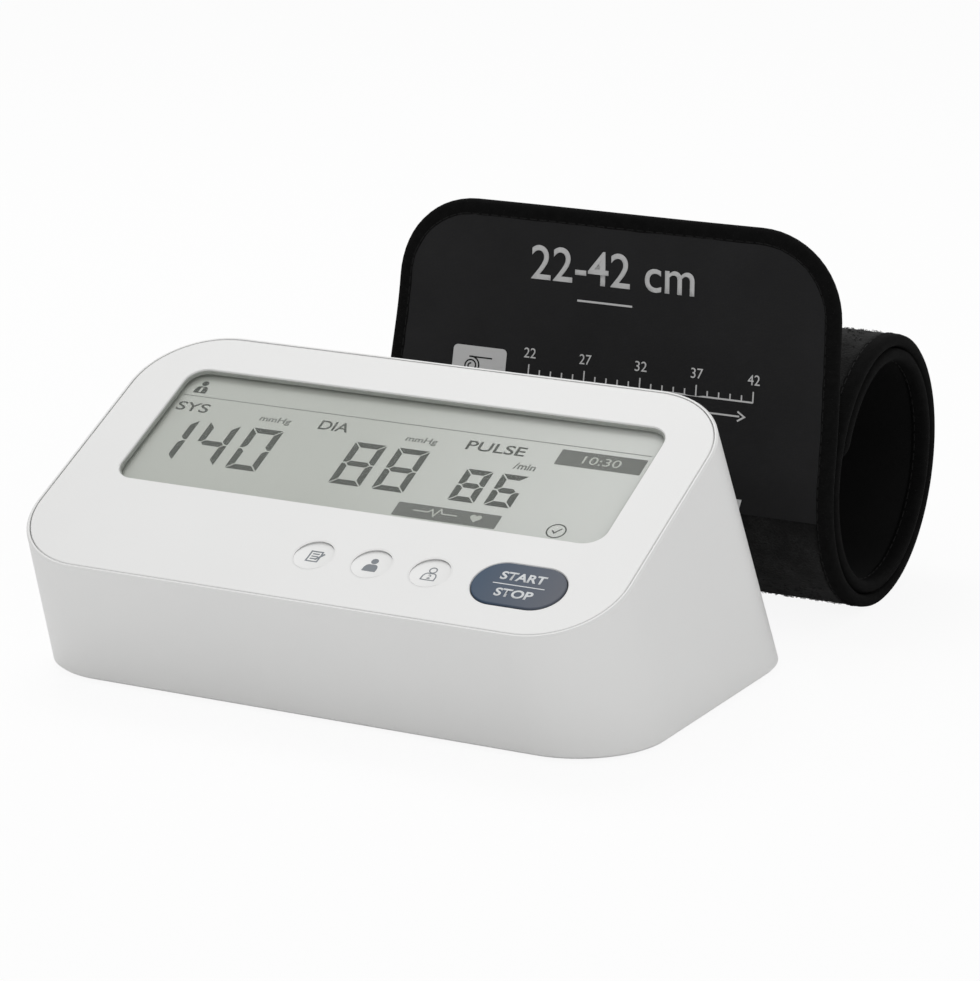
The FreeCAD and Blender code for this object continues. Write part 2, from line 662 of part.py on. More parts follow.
def base_cover():
    """Bottom plate inside the walls, with the battery bay, saddles and the manifold's post."""
    inside = from_face(housing_block(WALL + BASE_CLEARANCE, deck_bottom, full_depth))
    base = inside.common(block((-room, room), (-room, room), (FOOT_STAND, base_top)))
    bay = block((-bay_half - BAY_WALL, bay_half + BAY_WALL), (bay_front - BAY_WALL, bay_rear + BAY_WALL),
                (FOOT_STAND, bay_ceiling + BAY_WALL))
    pump_saddles = (sleeve_y, sleeve_y + SLEEVE_LENGTH - SADDLE_THICK)
    valve_saddles = (valve_y + SADDLE_THICK, valve_end_y - 2 * SADDLE_THICK)
    saddles = [saddle(pump_x, y, pump_z, pump_radius) for y in pump_saddles]
    saddles += [saddle(valve_x, y, pump_z, VALVE_RADIUS) for y in valve_saddles]
    post = rod(MANIFOLD_SIDE / 2, point(valve_x, air_y, FOOT_STAND + BASE_THICK / 2),
               point(valve_x, air_y, pump_z - MANIFOLD_SIDE / 2))
    base = base.fuse([bay, post] + saddles)
    tools = [block((-bay_half, bay_half), (bay_front, bay_rear), (FOOT_STAND - OVERRUN, bay_ceiling))]
    notch = DOOR_TAB_WIDTH / 2 + DOOR_TAB_CLEARANCE
    for x in (-cell_pitch, cell_pitch):
        tools.append(block((x - notch, x + notch), (bay_rear - OVERRUN, bay_rear + BAY_WALL + OVERRUN),
                           (base_top, hinge_z + tab_sweep + DOOR_TAB_CLEARANCE)))
    for x, y in post_places:
        tools.append(rod(CASE_SCREW_RADIUS + SCREW_CLEARANCE, point(x, y, 0),
                         point(x, y, base_top + OVERRUN)))
        tools.append(rod(CASE_SCREW_HEAD_RADIUS + SCREW_CLEARANCE, point(x, y, 0),
                         point(x, y, FOOT_STAND + CASE_SCREW_HEAD + SCREW_CLEARANCE)))
    for x, y in foot_places:
        tools.append(rod(FOOT_RADIUS + FOOT_CLEARANCE, point(x, y, 0), point(x, y, FOOT_STAND + FOOT_POCKET)))
    return base.cut(tools).removeSplitter()


def rubber_feet():
    """Four round feet in pockets of the base."""
    feet = []
    for x, y in foot_places:
        foot = rod(FOOT_RADIUS, point(x, y, 0), point(x, y, FOOT_STAND + FOOT_POCKET))
        rim = [edge for edge in foot.Edges if edge.BoundBox.ZMax < TINY]
        feet.append(foot.makeChamfer(FOOT_STAND / 2, rim))
    return Part.Compound(feet)


def case_screws():
    """Four screws through the base into the housing's posts."""
    screws = []
    for x, y in post_places:
        head_bottom = FOOT_STAND + SCREW_CLEARANCE
        head_top = FOOT_STAND + CASE_SCREW_HEAD
        head = rod(CASE_SCREW_HEAD_RADIUS, point(x, y, head_bottom), point(x, y, head_top))
        shank = rod(CASE_SCREW_RADIUS, point(x, y, head_bottom), point(x, y, head_top + CASE_SCREW_LENGTH))
        slot = CASE_SCREW_RADIUS / 2
        drive = block((x - slot, x + slot), (y - slot, y + slot), (0, FOOT_STAND + CASE_SCREW_HEAD / 2))
        screws.append(head.fuse(shank).cut(drive))
    return Part.Compound(screws)


def battery_door():
    """Door in the base with a round hinge edge, two hook tabs and a spring latch tongue."""
    half = bay_half - DOOR_GAP
    front = bay_front + DOOR_GAP
    door = block((-half, half), (front, hinge_y), (FOOT_STAND, door_top))
    door = door.fuse(rod(hinge_radius, point(-half, hinge_y, hinge_z), point(half, hinge_y, hinge_z)))
    for x in (-cell_pitch, cell_pitch):
        x_limits = (x - DOOR_TAB_WIDTH / 2, x + DOOR_TAB_WIDTH / 2)
        riser = block(x_limits, (hinge_y - DOOR_TAB_REACH, hinge_y), (FOOT_STAND + hinge_radius, tab_top))
        hook = block(x_limits, (hinge_y - DOOR_TAB_REACH, tab_rear), (tab_bottom, tab_top))
        door = door.fuse([riser, hook])
    half_latch = LATCH_WIDTH / 2
    door = door.fuse(block((-half_latch, half_latch), (front, front + LATCH_WALL),
                           (FOOT_STAND, door_top + LATCH_UPSTAND)))
    slits = [block((side * half_latch - LATCH_SLIT / 2, side * half_latch + LATCH_SLIT / 2),
                   (front - OVERRUN, front + LATCH_LENGTH), (0, room)) for side in (-1, 1)]
    scoop_z = FOOT_STAND + LATCH_SCOOP - LATCH_SCOOP_RADIUS
    scoop_y = front + LATCH_LENGTH / 2
    scoop = rod(LATCH_SCOOP_RADIUS, point(-half_latch / 2, scoop_y, scoop_z),
                point(half_latch / 2, scoop_y, scoop_z))
    return door.cut(slits + [scoop]).removeSplitter()


def cell_places():
    """Middle line of each cell and the way it points: +1 to the rear."""
    first = -(CELL_COUNT - 1) / 2 * cell_pitch
    return [(first + number * cell_pitch, -1 if number % 2 else 1) for number in range(CELL_COUNT)]


def cell_ends(way):
    """Where a cell's body starts and ends, so that its nub meets a contact plate."""
    if way > 0:
        end = bay_rear - CONTACT_THICK - CELL_NUB
        return end - CELL_LENGTH, end
    start = bay_front + CONTACT_THICK + CELL_NUB
    return start, start + CELL_LENGTH


def aa_cells():
    """Four AA cells side by side, turned in alternate directions."""
    cells = []
    for x, way in cell_places():
        start, end = cell_ends(way)
        body = rod(CELL_RADIUS, point(x, start, cell_z), point(x, end, cell_z))
        nub_y = end if way > 0 else start
        cells.append(body.fuse(rod(CELL_NUB_RADIUS, point(x, nub_y, cell_z),
                                   point(x, nub_y + way * CELL_NUB, cell_z))).removeSplitter())
    return Part.Compound(cells)


def battery_contacts():
    """Plain contact plates on the end walls of the bay, one at each end of each cell."""
    half = CONTACT_WIDTH / 2
    plates = []
    for x, way in cell_places():
        for y in (bay_front, bay_rear - CONTACT_THICK):
            plates.append(block((x - half, x + half), (y, y + CONTACT_THICK), (cell_z - half, cell_z + half)))
    return Part.Compound(plates)


def battery_springs():
    """Bent leaf springs between the flat end of each cell and its contact plate."""
    half = SPRING_WIDTH / 2
    springs = []
    for x, way in cell_places():
        start, end = cell_ends(way)
        wall = bay_front + CONTACT_THICK if way > 0 else bay_rear - CONTACT_THICK
        flat = start if way > 0 else end
        inner = flat - way * CONTACT_THICK
        bend = [(wall, -half), (wall, -half + CONTACT_THICK), (inner, 0), (wall, half - CONTACT_THICK),
                (wall, half), (flat, CONTACT_TAB), (flat, -CONTACT_TAB)]
        corners = [point(x - half, y, cell_z + rise) for y, rise in bend]
        springs.append(Part.Face(Part.makePolygon(corners + corners[:1])).extrude(X_AXIS * SPRING_WIDTH))
    return Part.Compound(springs)


def pump_motor():
    """Motor can with end bosses and the hole for its shaft."""
    can = rod(MOTOR_RADIUS, point(pump_x, motor_y, pump_z), point(pump_x, housing_y, pump_z))
    rim = [edge for edge in can.Edges if edge.BoundBox.YLength < TINY]
    can = can.makeChamfer(SHAFT_RADIUS, rim)
    boss = rod(MOTOR_BOSS_RADIUS, point(pump_x, motor_y - MOTOR_BOSS, pump_z),
               point(pump_x, housing_y + MOTOR_BOSS, pump_z))
    hole_end = housing_y - SHAFT_IN_MOTOR - SHAFT_CLEARANCE
    hole = rod(SHAFT_RADIUS + SHAFT_CLEARANCE, point(pump_x, hole_end, pump_z),
               point(pump_x, housing_y + MOTOR_BOSS + OVERRUN, pump_z))
    return can.fuse(boss).cut(hole).removeSplitter()


def pump_sleeve():
    """Soft sleeve that keeps the motor's hum from the base."""
    start = point(pump_x, sleeve_y, pump_z)
    end = point(pump_x, sleeve_y + SLEEVE_LENGTH, pump_z)
    inside = rod(MOTOR_RADIUS, start - Y_AXIS * OVERRUN, end + Y_AXIS * OVERRUN)
    return rod(pump_radius, start, end).cut(inside)


def pump_drive():
    """Motor shaft with its eccentric crank."""
    shaft = rod(SHAFT_RADIUS, point(pump_x, housing_y - SHAFT_IN_MOTOR, pump_z),
                point(pump_x, housing_y + SHAFT_OUT, pump_z))
    crank_y = housing_y + SHAFT_OUT - CRANK_THICK
    crank_z = pump_z - CRANK_OFFSET
    crank = rod(CRANK_RADIUS, point(pump_x, crank_y, crank_z), point(pump_x, crank_y + CRANK_THICK, crank_z))
    return shaft.fuse(crank).removeSplitter()


def pump_housing():
    """Round pump body around the crank, on the motor's front."""
    body = rod(pump_radius, point(pump_x, housing_y, pump_z), point(pump_x, cap_y, pump_z))
    cavity = rod(pump_radius - PUMP_HOUSING_WALL, point(pump_x, housing_y + PUMP_HOUSING_WALL, pump_z),
                 point(pump_x, cap_y + OVERRUN, pump_z))
    boss_hole = rod(MOTOR_BOSS_RADIUS, point(pump_x, housing_y - OVERRUN, pump_z),
                    point(pump_x, housing_y + OVERRUN, pump_z))
    return body.cut([cavity, boss_hole])


def pump_diaphragm():
    """Rubber disc with cups, pinched at the mouth of the pump body."""
    radius = pump_radius - PUMP_HOUSING_WALL
    disc = rod(radius, point(pump_x, cap_y - DIAPHRAGM_THICK, pump_z), point(pump_x, cap_y, pump_z))
    for number in range(DIAPHRAGM_CUPS):
        angle = 2 * math.pi * number / DIAPHRAGM_CUPS
        x = pump_x + radius / 2 * math.cos(angle)
        z = pump_z + radius / 2 * math.sin(angle)
        disc = disc.fuse(rod(DIAPHRAGM_CUP_RADIUS, point(x, cap_y - DIAPHRAGM_THICK - DIAPHRAGM_CUP, z),
                             point(x, cap_y, z)))
    return disc.removeSplitter()


def pump_cap():
    """End cap with the air chamber and a nipple towards the manifold."""
    cap = rod(pump_radius, point(pump_x, cap_y, pump_z), point(pump_x, cap_y + PUMP_CAP_LENGTH, pump_z))
    chamber = rod(pump_radius - 2 * PUMP_HOUSING_WALL, point(pump_x, cap_y - OVERRUN, pump_z),
                  point(pump_x, cap_y + PUMP_CHAMBER, pump_z))
    start = point(pump_x - pump_radius, air_y, pump_z)
    cap = cap.fuse(rod(nipple_radius, start + X_AXIS * PUMP_HOUSING_WALL, start - X_AXIS * NIPPLE_LENGTH))
    return cap.cut([chamber, nipple_bore(start, -X_AXIS, pump_radius)]).removeSplitter()


def release_valve():
    """Solenoid valve with a bore for its plunger and a nipple towards the manifold."""
    body = rod(VALVE_RADIUS, point(valve_x, valve_y, pump_z), point(valve_x, valve_end_y, pump_z))
    start = point(valve_x, valve_end_y, pump_z)
    body = body.fuse(nipple(start, Y_AXIS))
    bore = rod(VALVE_PLUNGER_RADIUS + VALVE_BORE_CLEARANCE, point(valve_x, valve_y - OVERRUN, pump_z),
               point(valve_x, valve_end_y - VALVE_SEAT, pump_z))
    return body.cut([bore, nipple_bore(start, Y_AXIS, VALVE_SEAT + OVERRUN)])


def valve_plunger():
    """Plunger that closes the valve's seat."""
    end = point(valve_x, valve_end_y - VALVE_SEAT, pump_z)
    return rod(VALVE_PLUNGER_RADIUS, end - Y_AXIS * VALVE_PLUNGER_LENGTH, end)


def manifold_ways():
    """Directions of the manifold's four nipples: pump, jack, valve and sensor."""
    return X_AXIS, -X_AXIS, -Y_AXIS, Z_AXIS


def air_manifold():
    """Four-way joint of the air line."""
    half = MANIFOLD_SIDE / 2
    body = block(*((middle - half, middle + half) for middle in manifold))
    for way in manifold_ways():
        body = body.fuse(nipple(manifold + way * half, way))
    bores = [nipple_bore(manifold + way * half, way, half) for way in manifold_ways()]
    return body.cut(bores).removeSplitter()


def hollow_tube(path):
    """Tube of the air line along a wire of straight runs and arcs."""
    start = path.Edges[0].valueAt(path.Edges[0].FirstParameter)
    direction = path.Edges[0].tangentAt(path.Edges[0].FirstParameter)
    radii = (TUBE_RADIUS, TUBE_BORE_RADIUS)
    walls = [Part.Wire(Part.makeCircle(radius, start, direction)) for radius in radii]
    outer, bore = [path.makePipeShell([wall], True, False) for wall in walls]
    return outer.cut(bore)


def straight_tube(start, end):
    """Tube between two shoulders, a little short of each."""
    way = (end - start).normalize()
    return hollow_tube(Part.Wire(Part.makeLine(start + way * TUBE_END_GAP, end - way * TUBE_END_GAP)))


def pump_tube():
    """Tube from the pump to the manifold, behind the battery bay."""
    return straight_tube(point(pump_x - pump_radius, air_y, pump_z), manifold + X_AXIS * (MANIFOLD_SIDE / 2))


def jack_tube():
    """Tube from the manifold to the air jack."""
    return straight_tube(manifold - X_AXIS * (MANIFOLD_SIDE / 2), point(jack_back, air_y, pump_z))


def valve_tube():
    """Tube from the manifold to the release valve."""
    return straight_tube(manifold - Y_AXIS * (MANIFOLD_SIDE / 2), point(valve_x, valve_end_y, pump_z))


def sensor_tube():
    """Tube from the manifold up to the pressure sensor, with one bend to the face's own normal."""
    lower = manifold + Z_AXIS * (MANIFOLD_SIDE / 2 + TUBE_END_GAP)
    normal = FACE.Rotation.multVec(Z_AXIS)
    upper = FACE.multVec(point(sensor_place.x, sensor_place.y, -sensor_face - TUBE_END_GAP))
    reach = SENSOR_TUBE_BEND * math.tan(math.radians(FACE_TILT_ANGLE) / 2)
    bend_start = sensor_turn - Z_AXIS * reach
    bend_end = sensor_turn + normal * reach
    centre_way = FACE.Rotation.multVec(-Y_AXIS) - Y_AXIS
    centre = bend_start - Y_AXIS * SENSOR_TUBE_BEND
    bend_middle = centre - centre_way.normalize() * SENSOR_TUBE_BEND
    arc = Part.Arc(bend_start, bend_middle, bend_end).toShape()
    return hollow_tube(Part.Wire([Part.makeLine(lower, bend_start), arc, Part.makeLine(bend_end, upper)]))


def air_jack():
    """Socket in the left wall for the plug of the cuff's hose."""
    mouth = point(jack_mouth, air_y, pump_z)
    back = point(jack_back, air_y, pump_z)
    body = rod(JACK_RADIUS, mouth, back)
    shoulder = mouth + X_AXIS * (JACK_PROUD + WALL + JACK_WALL_GAP)
    flange = rod(JACK_SHOULDER_RADIUS, shoulder, shoulder + X_AXIS * JACK_SHOULDER)
    body = body.fuse([flange, nipple(back, X_AXIS)])
    bore = rod(JACK_BORE_RADIUS, mouth - X_AXIS * OVERRUN, mouth + X_AXIS * JACK_BORE_DEPTH)
    return body.cut([bore, nipple_bore(back, X_AXIS, JACK_BACK)]).removeSplitter()


def dc_jack():
    """Power socket in the left wall, with its centre pin."""
    mouth = point(power_mouth, power_y, pump_z)
    body_x = power_mouth + WALL + JACK_WALL_GAP
    half = POWER_BODY_WIDTH / 2
    body = block((body_x, body_x + POWER_BODY_LENGTH), (power_y - half, power_y + half),
                 (pump_z - half, pump_z + half))
    body = body.fuse(rod(POWER_COLLAR_RADIUS, mouth, mouth + X_AXIS * POWER_BODY_LENGTH))
    socket = rod(POWER_SOCKET_RADIUS, mouth - X_AXIS * OVERRUN, mouth + X_AXIS * POWER_SOCKET_DEPTH)
    pin = rod(POWER_PIN_RADIUS, mouth + X_AXIS * POWER_PIN_RADIUS, mouth + X_AXIS * POWER_SOCKET_DEPTH)
    tip = [edge for edge in pin.Edges if edge.BoundBox.XMax < power_mouth + POWER_PIN_RADIUS + TINY]
    return body.cut(socket).fuse(pin.makeFillet(POWER_PIN_RADIUS / 2, tip)).removeSplitter()


def heading_vector(heading):
    """Unit vector in the YZ plane for a heading in degrees from +Y."""
    angle = math.radians(heading)
    return point(0, math.cos(angle), math.sin(angle))


def cuff_start():
    """Heading and place of the strip's middle at the flap's top, traced back from the roll."""
    heading = -QUARTER_ANGLE - FLAP_LEAN_ANGLE
    place = point(cuff_left, roll_y, ROLL_RADIUS) - heading_vector(heading + QUARTER_ANGLE) * roll_mid
    place = place - heading_vector(heading) * FLAP_STRAIGHT
    turn, radius = cuff_arcs[0]
    centre = place - heading_vector(heading + QUARTER_ANGLE) * radius
    heading -= turn
    return heading, centre + heading_vector(heading + QUARTER_ANGLE) * radius


def cuff_curve(offset, begin, end):
    """Edges of the strip's section at one distance outwards from its middle, between two lengths along it."""
    heading, place = cuff_start()
    travelled = 0.0
    edges = []
    for turn, size in cuff_arcs:
        length = math.radians(abs(turn)) * size if turn else size
        left = heading_vector(heading + QUARTER_ANGLE)
        low = max(begin, travelled) - travelled
        high = min(end, travelled + length) - travelled
        if turn:
            side = math.copysign(1, turn)
            centre = place + left * side * size

            def at(distance):
                spin = heading + turn * distance / length - side * QUARTER_ANGLE
                return centre + heading_vector(spin) * (size + side * offset)

            if high - low > TINY:
                edges.append(Part.Arc(at(low), at((low + high) / 2), at(high)).toShape())
            place = centre + heading_vector(heading + turn - side * QUARTER_ANGLE) * size
        else:
            if high - low > TINY:
                first = place + heading_vector(heading) * low - left * offset
                edges.append(Part.makeLine(first, first + heading_vector(heading) * (high - low)))
            place = place + heading_vector(heading) * length
        heading += turn
        travelled += length
    return edges


def cuff_layer(low, high, begin, end, side):
    """Layer of the rolled strip between two offsets and two lengths, set in from both sides."""
    outer = cuff_curve(high, begin, end)
    inner = cuff_curve(low, begin, end)
    starts = [edges[0].valueAt(edges[0].FirstParameter) for edges in (outer, inner)]
    stops = [edges[-1].valueAt(edges[-1].LastParameter) for edges in (outer, inner)]
    wire = Part.Wire(outer + [Part.makeLine(*stops)] + inner[::-1] + [Part.makeLine(*starts)])
    section = Part.Face(wire)
    section.translate(X_AXIS * side)
    return section.extrude(X_AXIS * (CUFF_WIDTH - 2 * side))


def cuff_point(distance):
    """Middle of the strip at one length from the flap's top."""
    edge = cuff_curve(0, distance, cuff_length)[0]
    return edge.valueAt(edge.FirstParameter)


def upright_prism(side, bottom, top, corner):
    """Prism along Y with round corners, set in from both sides of the cuff."""
    wire = rounded_wire(cuff_left + side, cuff_right - side, bottom, top, corner, -room)
    prism = Part.Face(wire).extrude(Z_AXIS * (2 * room))
    prism.rotate(point(0, 0, 0), X_AXIS, QUARTER_ANGLE)
    return prism


def flap_end(side):
    """Prism that trims a layer to the flap's round top, set in from the strip's edge."""
    return upright_prism(side, -room, cuff_point(side + FLAP_END_TRIM).z, FLAP_CORNER - side)


def cuff_cover():
    """Sewn cloth strip of the cuff, with the pocket for the bladder and the curler."""
    half = CUFF_THICK / 2
    strip = cuff_layer(-half, half, 0, cuff_length - BINDING_WIDTH, BINDING_WIDTH)
    pocket = cuff_layer(-POCKET_THICK / 2, POCKET_THICK / 2, pocket_start, pocket_end, 0)
    return strip.common(flap_end(BINDING_WIDTH)).cut(pocket)


def cuff_binding():
    """Tape folded over the strip's whole edge."""
    half = CUFF_BINDING_THICK / 2
    tape = cuff_layer(-half, half, 0, cuff_length, 0).common(flap_end(0))
    past = half + CUFF_LAP_GAP / 3
    opening = cuff_layer(-past, past, 0, cuff_length - BINDING_WIDTH, BINDING_WIDTH)
    return tape.cut(opening.common(flap_end(BINDING_WIDTH)))


def cuff_face_panel():
    """Smooth printed cloth on the outside of the flap and the front of the roll."""
    half = CUFF_THICK / 2
    panel = cuff_layer(half + CLOTH_CLEARANCE, half + CLOTH_LAYER, 0, face_panel_end, BINDING_WIDTH)
    return panel.common(flap_end(BINDING_WIDTH))


def cuff_loop_cloth():
    """Loop pile on the rest of the outside."""
    half = CUFF_THICK / 2
    return cuff_layer(half + CLOTH_CLEARANCE, half + CLOTH_LAYER, face_panel_end, loop_cloth_end,
                      BINDING_WIDTH)


def cuff_hook_patch():
    """Hook tape on the inside of the flap."""
    half = CUFF_THICK / 2
    end = HOOK_PATCH_START + HOOK_PATCH_LENGTH
    patch = cuff_layer(-half - CLOTH_LAYER, -half - CLOTH_CLEARANCE, HOOK_PATCH_START - FLAP_END_TRIM,
                       end + FLAP_END_TRIM, HOOK_PATCH_SIDE)
    return patch.common(upright_prism(HOOK_PATCH_SIDE, cuff_point(end).z, cuff_point(HOOK_PATCH_START).z,
                                      HOOK_PATCH_CORNER))


def cuff_bladder():
    """Flat air bag in the pocket, on the arm's side."""
    return cuff_layer(-POCKET_THICK / 2 + CLOTH_CLEARANCE, -CLOTH_CLEARANCE, pocket_start + BINDING_WIDTH,
                      pocket_end - BINDING_WIDTH, BLADDER_SIDE)


def cuff_curler():
    """Springy sheet in the pocket that keeps the cuff rolled."""
    return cuff_layer(CLOTH_CLEARANCE, POCKET_THICK / 2 - CLOTH_CLEARANCE, pocket_start + BINDING_WIDTH,
                      pocket_end - BINDING_WIDTH, CURLER_SIDE)


def cuff_air_port():
    """Boot on the back of the roll, with the nipple that the air hose is pushed on."""
    seat_radius = roll_mid + CUFF_THICK / 2 + CLOTH_LAYER + CLOTH_CLEARANCE
    middle = point(cuff_left + PORT_INSET, roll_y, ROLL_RADIUS)
    start = middle + heading_vector(-PORT_ANGLE) * (seat_radius + PORT_RISE)
    tip = start - X_AXIS * PORT_NIPPLE_LENGTH
    end = start + X_AXIS * PORT_LENGTH
    boot = rod(PORT_RADIUS, start, end).fuse(rod(PORT_NIPPLE_RADIUS, tip, end))
    roll = rod(seat_radius, middle - X_AXIS * OVERRUN, middle + X_AXIS * (PORT_LENGTH + OVERRUN))
    return boot.cut([roll, rod(PORT_BORE_RADIUS, tip - X_AXIS * OVERRUN, start)]).removeSplitter()


PIECES = [
    upper_case, face_panel, display_window, lcd_panel, lcd_frame, lcd_connectors, start_stop_button,
    tact_switches, main_board, board_screws, board_parts, buzzer, pressure_sensor, base_cover, rubber_feet,
    case_screws, battery_door, aa_cells, battery_contacts, battery_springs, pump_motor, pump_sleeve,
    pump_drive, pump_housing, pump_diaphragm, pump_cap, release_valve, valve_plunger, air_manifold,
    pump_tube, jack_tube, valve_tube, sensor_tube, air_jack, dc_jack, cuff_cover, cuff_binding,
    cuff_face_panel, cuff_loop_cloth, cuff_hook_patch, cuff_bladder, cuff_curler, cuff_air_port]


def build():
    """Makes every piece, by the name of its node."""
    shapes = {piece.__name__: piece() for piece in PIECES}
    for name, u in button_us.items():
        shapes[name + "_plunger"] = plunger(u)
        if name != "start_stop":
            shapes[name + "_button"] = round_button(u)
    return shapes


os.makedirs("parts", exist_ok=True)
for node, shape in build().items():
    shape.exportStep("parts/" + node + ".step")
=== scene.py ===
import json
import math
import random

import bpy
from bpy.props import FloatProperty, FloatVectorProperty, PointerProperty
from bpy.types import Operator, Panel, PropertyGroup
from mathutils import Matrix, Vector, noise


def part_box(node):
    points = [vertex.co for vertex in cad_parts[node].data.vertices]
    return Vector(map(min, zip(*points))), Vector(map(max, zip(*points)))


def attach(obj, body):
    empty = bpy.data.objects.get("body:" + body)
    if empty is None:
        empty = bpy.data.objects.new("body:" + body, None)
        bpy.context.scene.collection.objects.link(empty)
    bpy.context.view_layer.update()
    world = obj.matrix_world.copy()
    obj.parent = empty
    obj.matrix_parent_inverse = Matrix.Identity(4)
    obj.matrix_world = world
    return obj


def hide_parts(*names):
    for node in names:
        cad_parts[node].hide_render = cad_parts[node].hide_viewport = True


bl_info = {
    "name": "Blood pressure monitor with rolled cuff",
    "version": (1, 0, 0),
    "blender": (4, 5, 0),
    "location": "View3D > Sidebar > Monitor",
    "description": "Display, prints, cuff cloth, finishes and studio for the packed monitor",
    "category": "Object",
}

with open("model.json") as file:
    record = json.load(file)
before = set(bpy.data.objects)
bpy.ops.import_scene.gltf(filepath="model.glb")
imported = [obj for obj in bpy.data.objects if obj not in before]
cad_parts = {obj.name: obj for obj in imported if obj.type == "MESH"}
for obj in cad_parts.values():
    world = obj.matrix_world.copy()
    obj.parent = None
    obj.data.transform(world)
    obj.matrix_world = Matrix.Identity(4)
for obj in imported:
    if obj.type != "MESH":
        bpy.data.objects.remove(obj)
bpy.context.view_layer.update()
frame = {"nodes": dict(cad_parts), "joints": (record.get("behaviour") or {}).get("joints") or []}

MM = 0.001
QUARTER = math.pi / 2
SMOOTH_ANGLE = math.radians(40)
WELD = 0.001 * MM

# Sockets of the colour mix node, and radians that the wave texture turns in one unit
MIX_FACTOR = 0
MIX_FIRST = 6
MIX_SECOND = 7
MIX_RESULT = 2
WAVE_TURN = 20


def linear(code):
    """Linear red, green, blue and alpha of an sRGB hex colour."""
    shares = [int(code[place:place + 2], 16) / 255 for place in (1, 3, 5)]
    curve = [share / 12.92 if share <= 0.04045 else ((share + 0.055) / 1.055) ** 2.4 for share in shares]
    return curve + [1.0]


def length(name, description, size):
    """Length property whose default is given in millimetres."""
    return FloatProperty(name=name, description=description, default=size * MM, unit="LENGTH", precision=5)


def angle(name, description, degrees):
    """Angle property whose default is given in degrees."""
    return FloatProperty(name=name, description=description, default=math.radians(degrees), subtype="ANGLE")


def colour(name, description, code):
    """Colour property whose default is an sRGB hex colour."""
    return FloatVectorProperty(name=name, description=description, default=linear(code), size=4,
                               subtype="COLOR", min=0, max=1)


class DisplaySizes(PropertyGroup):
    """Sizes of the readings and prints on the face."""
    digit_width: length("Digit width", "Width of a large digit", 10.0)
    digit_height: length("Digit height", "Height of a large digit", 18.2)
    digit_stroke: length("Digit stroke", "Width of a segment", 2.1)
    segment_gap: length("Segment gap", "Gap between two segments", 0.28)
    pulse_height: length("Pulse digit height", "Height of the smaller pulse digits", 13.6)
    pulse_width: length("Pulse digit width", "Width of the smaller pulse digits", 8.2)
    ink: length("Ink height", "Height of printed ink over its ground", 0.05)
    film: length("Segment height", "Height of the display's segments over its ground", 0.03)
    line: length("Icon line", "Width of a drawn line", 0.42)


class CuffSizes(PropertyGroup):
    """Sizes of the cuff's cloth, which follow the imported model."""
    roll_radius: length("Roll radius", "Outer radius of the roll", 41.7)
    tape_thick: length("Tape thickness", "Thickness over the folded edge tape", 3.8)
    tape_width: length("Tape width", "Width of the folded edge tape", 5.2)
    body_thick: length("Body thickness", "Thickness of the padded strip", 2.8)
    lap_gap: length("Lap gap", "Room between two turns of the roll", 0.4)
    flap_arc: length("Flap arc", "Length of the flap's bent upper part", 45.6)
    flap_straight: length("Flap straight", "Length of the flap's straight lower part", 26.0)
    flap_corner: length("Flap corner", "Radius of the flap's round corners", 25.5)
    flap_turn: angle("Flap bend", "Bend of the flap's upper part", 12.0)
    flap_lean: angle("Flap lean", "Lean of the flap's lower part", 8.0)
    inner_turn: angle("Inner end", "Turn of the strip's innermost stretch", 165.0)
    panel_end: length("Smooth panel", "Length of the smooth printed cloth from the flap's top", 84.3)
    pile_end: length("Pile end", "Length from the flap's top to the end of the pile", 302.0)
    cloth_thick: length("Cloth thickness", "Thickness of the sewn-on cloths", 0.35)
    flare: length("Flare", "How far the flap's left edge spreads towards the roll", 3.2)
    pinch: length("Pinch", "How far the flap's right edge draws in at its top", 1.3)
    flare_start: length("Flare start", "Room from the flap's top to the start of the flare", 14.0)
    flare_end: length("Flare end", "Room from the flap's top to the end of the flare", 66.0)
    billow: length("Billow", "Depth of the slow waves in the free flap", 0.7)
    pile_rise: length("Pile rise", "Depth of the uneven pile", 0.2)
    hook_side: length("Hook patch side", "Room from the strip's side to the hook patch", 14.0)
    hook_start: length("Hook patch start", "Room from the flap's top to the hook patch", 8.0)
    hook_length: length("Hook patch length", "Length of the hook patch", 36.0)


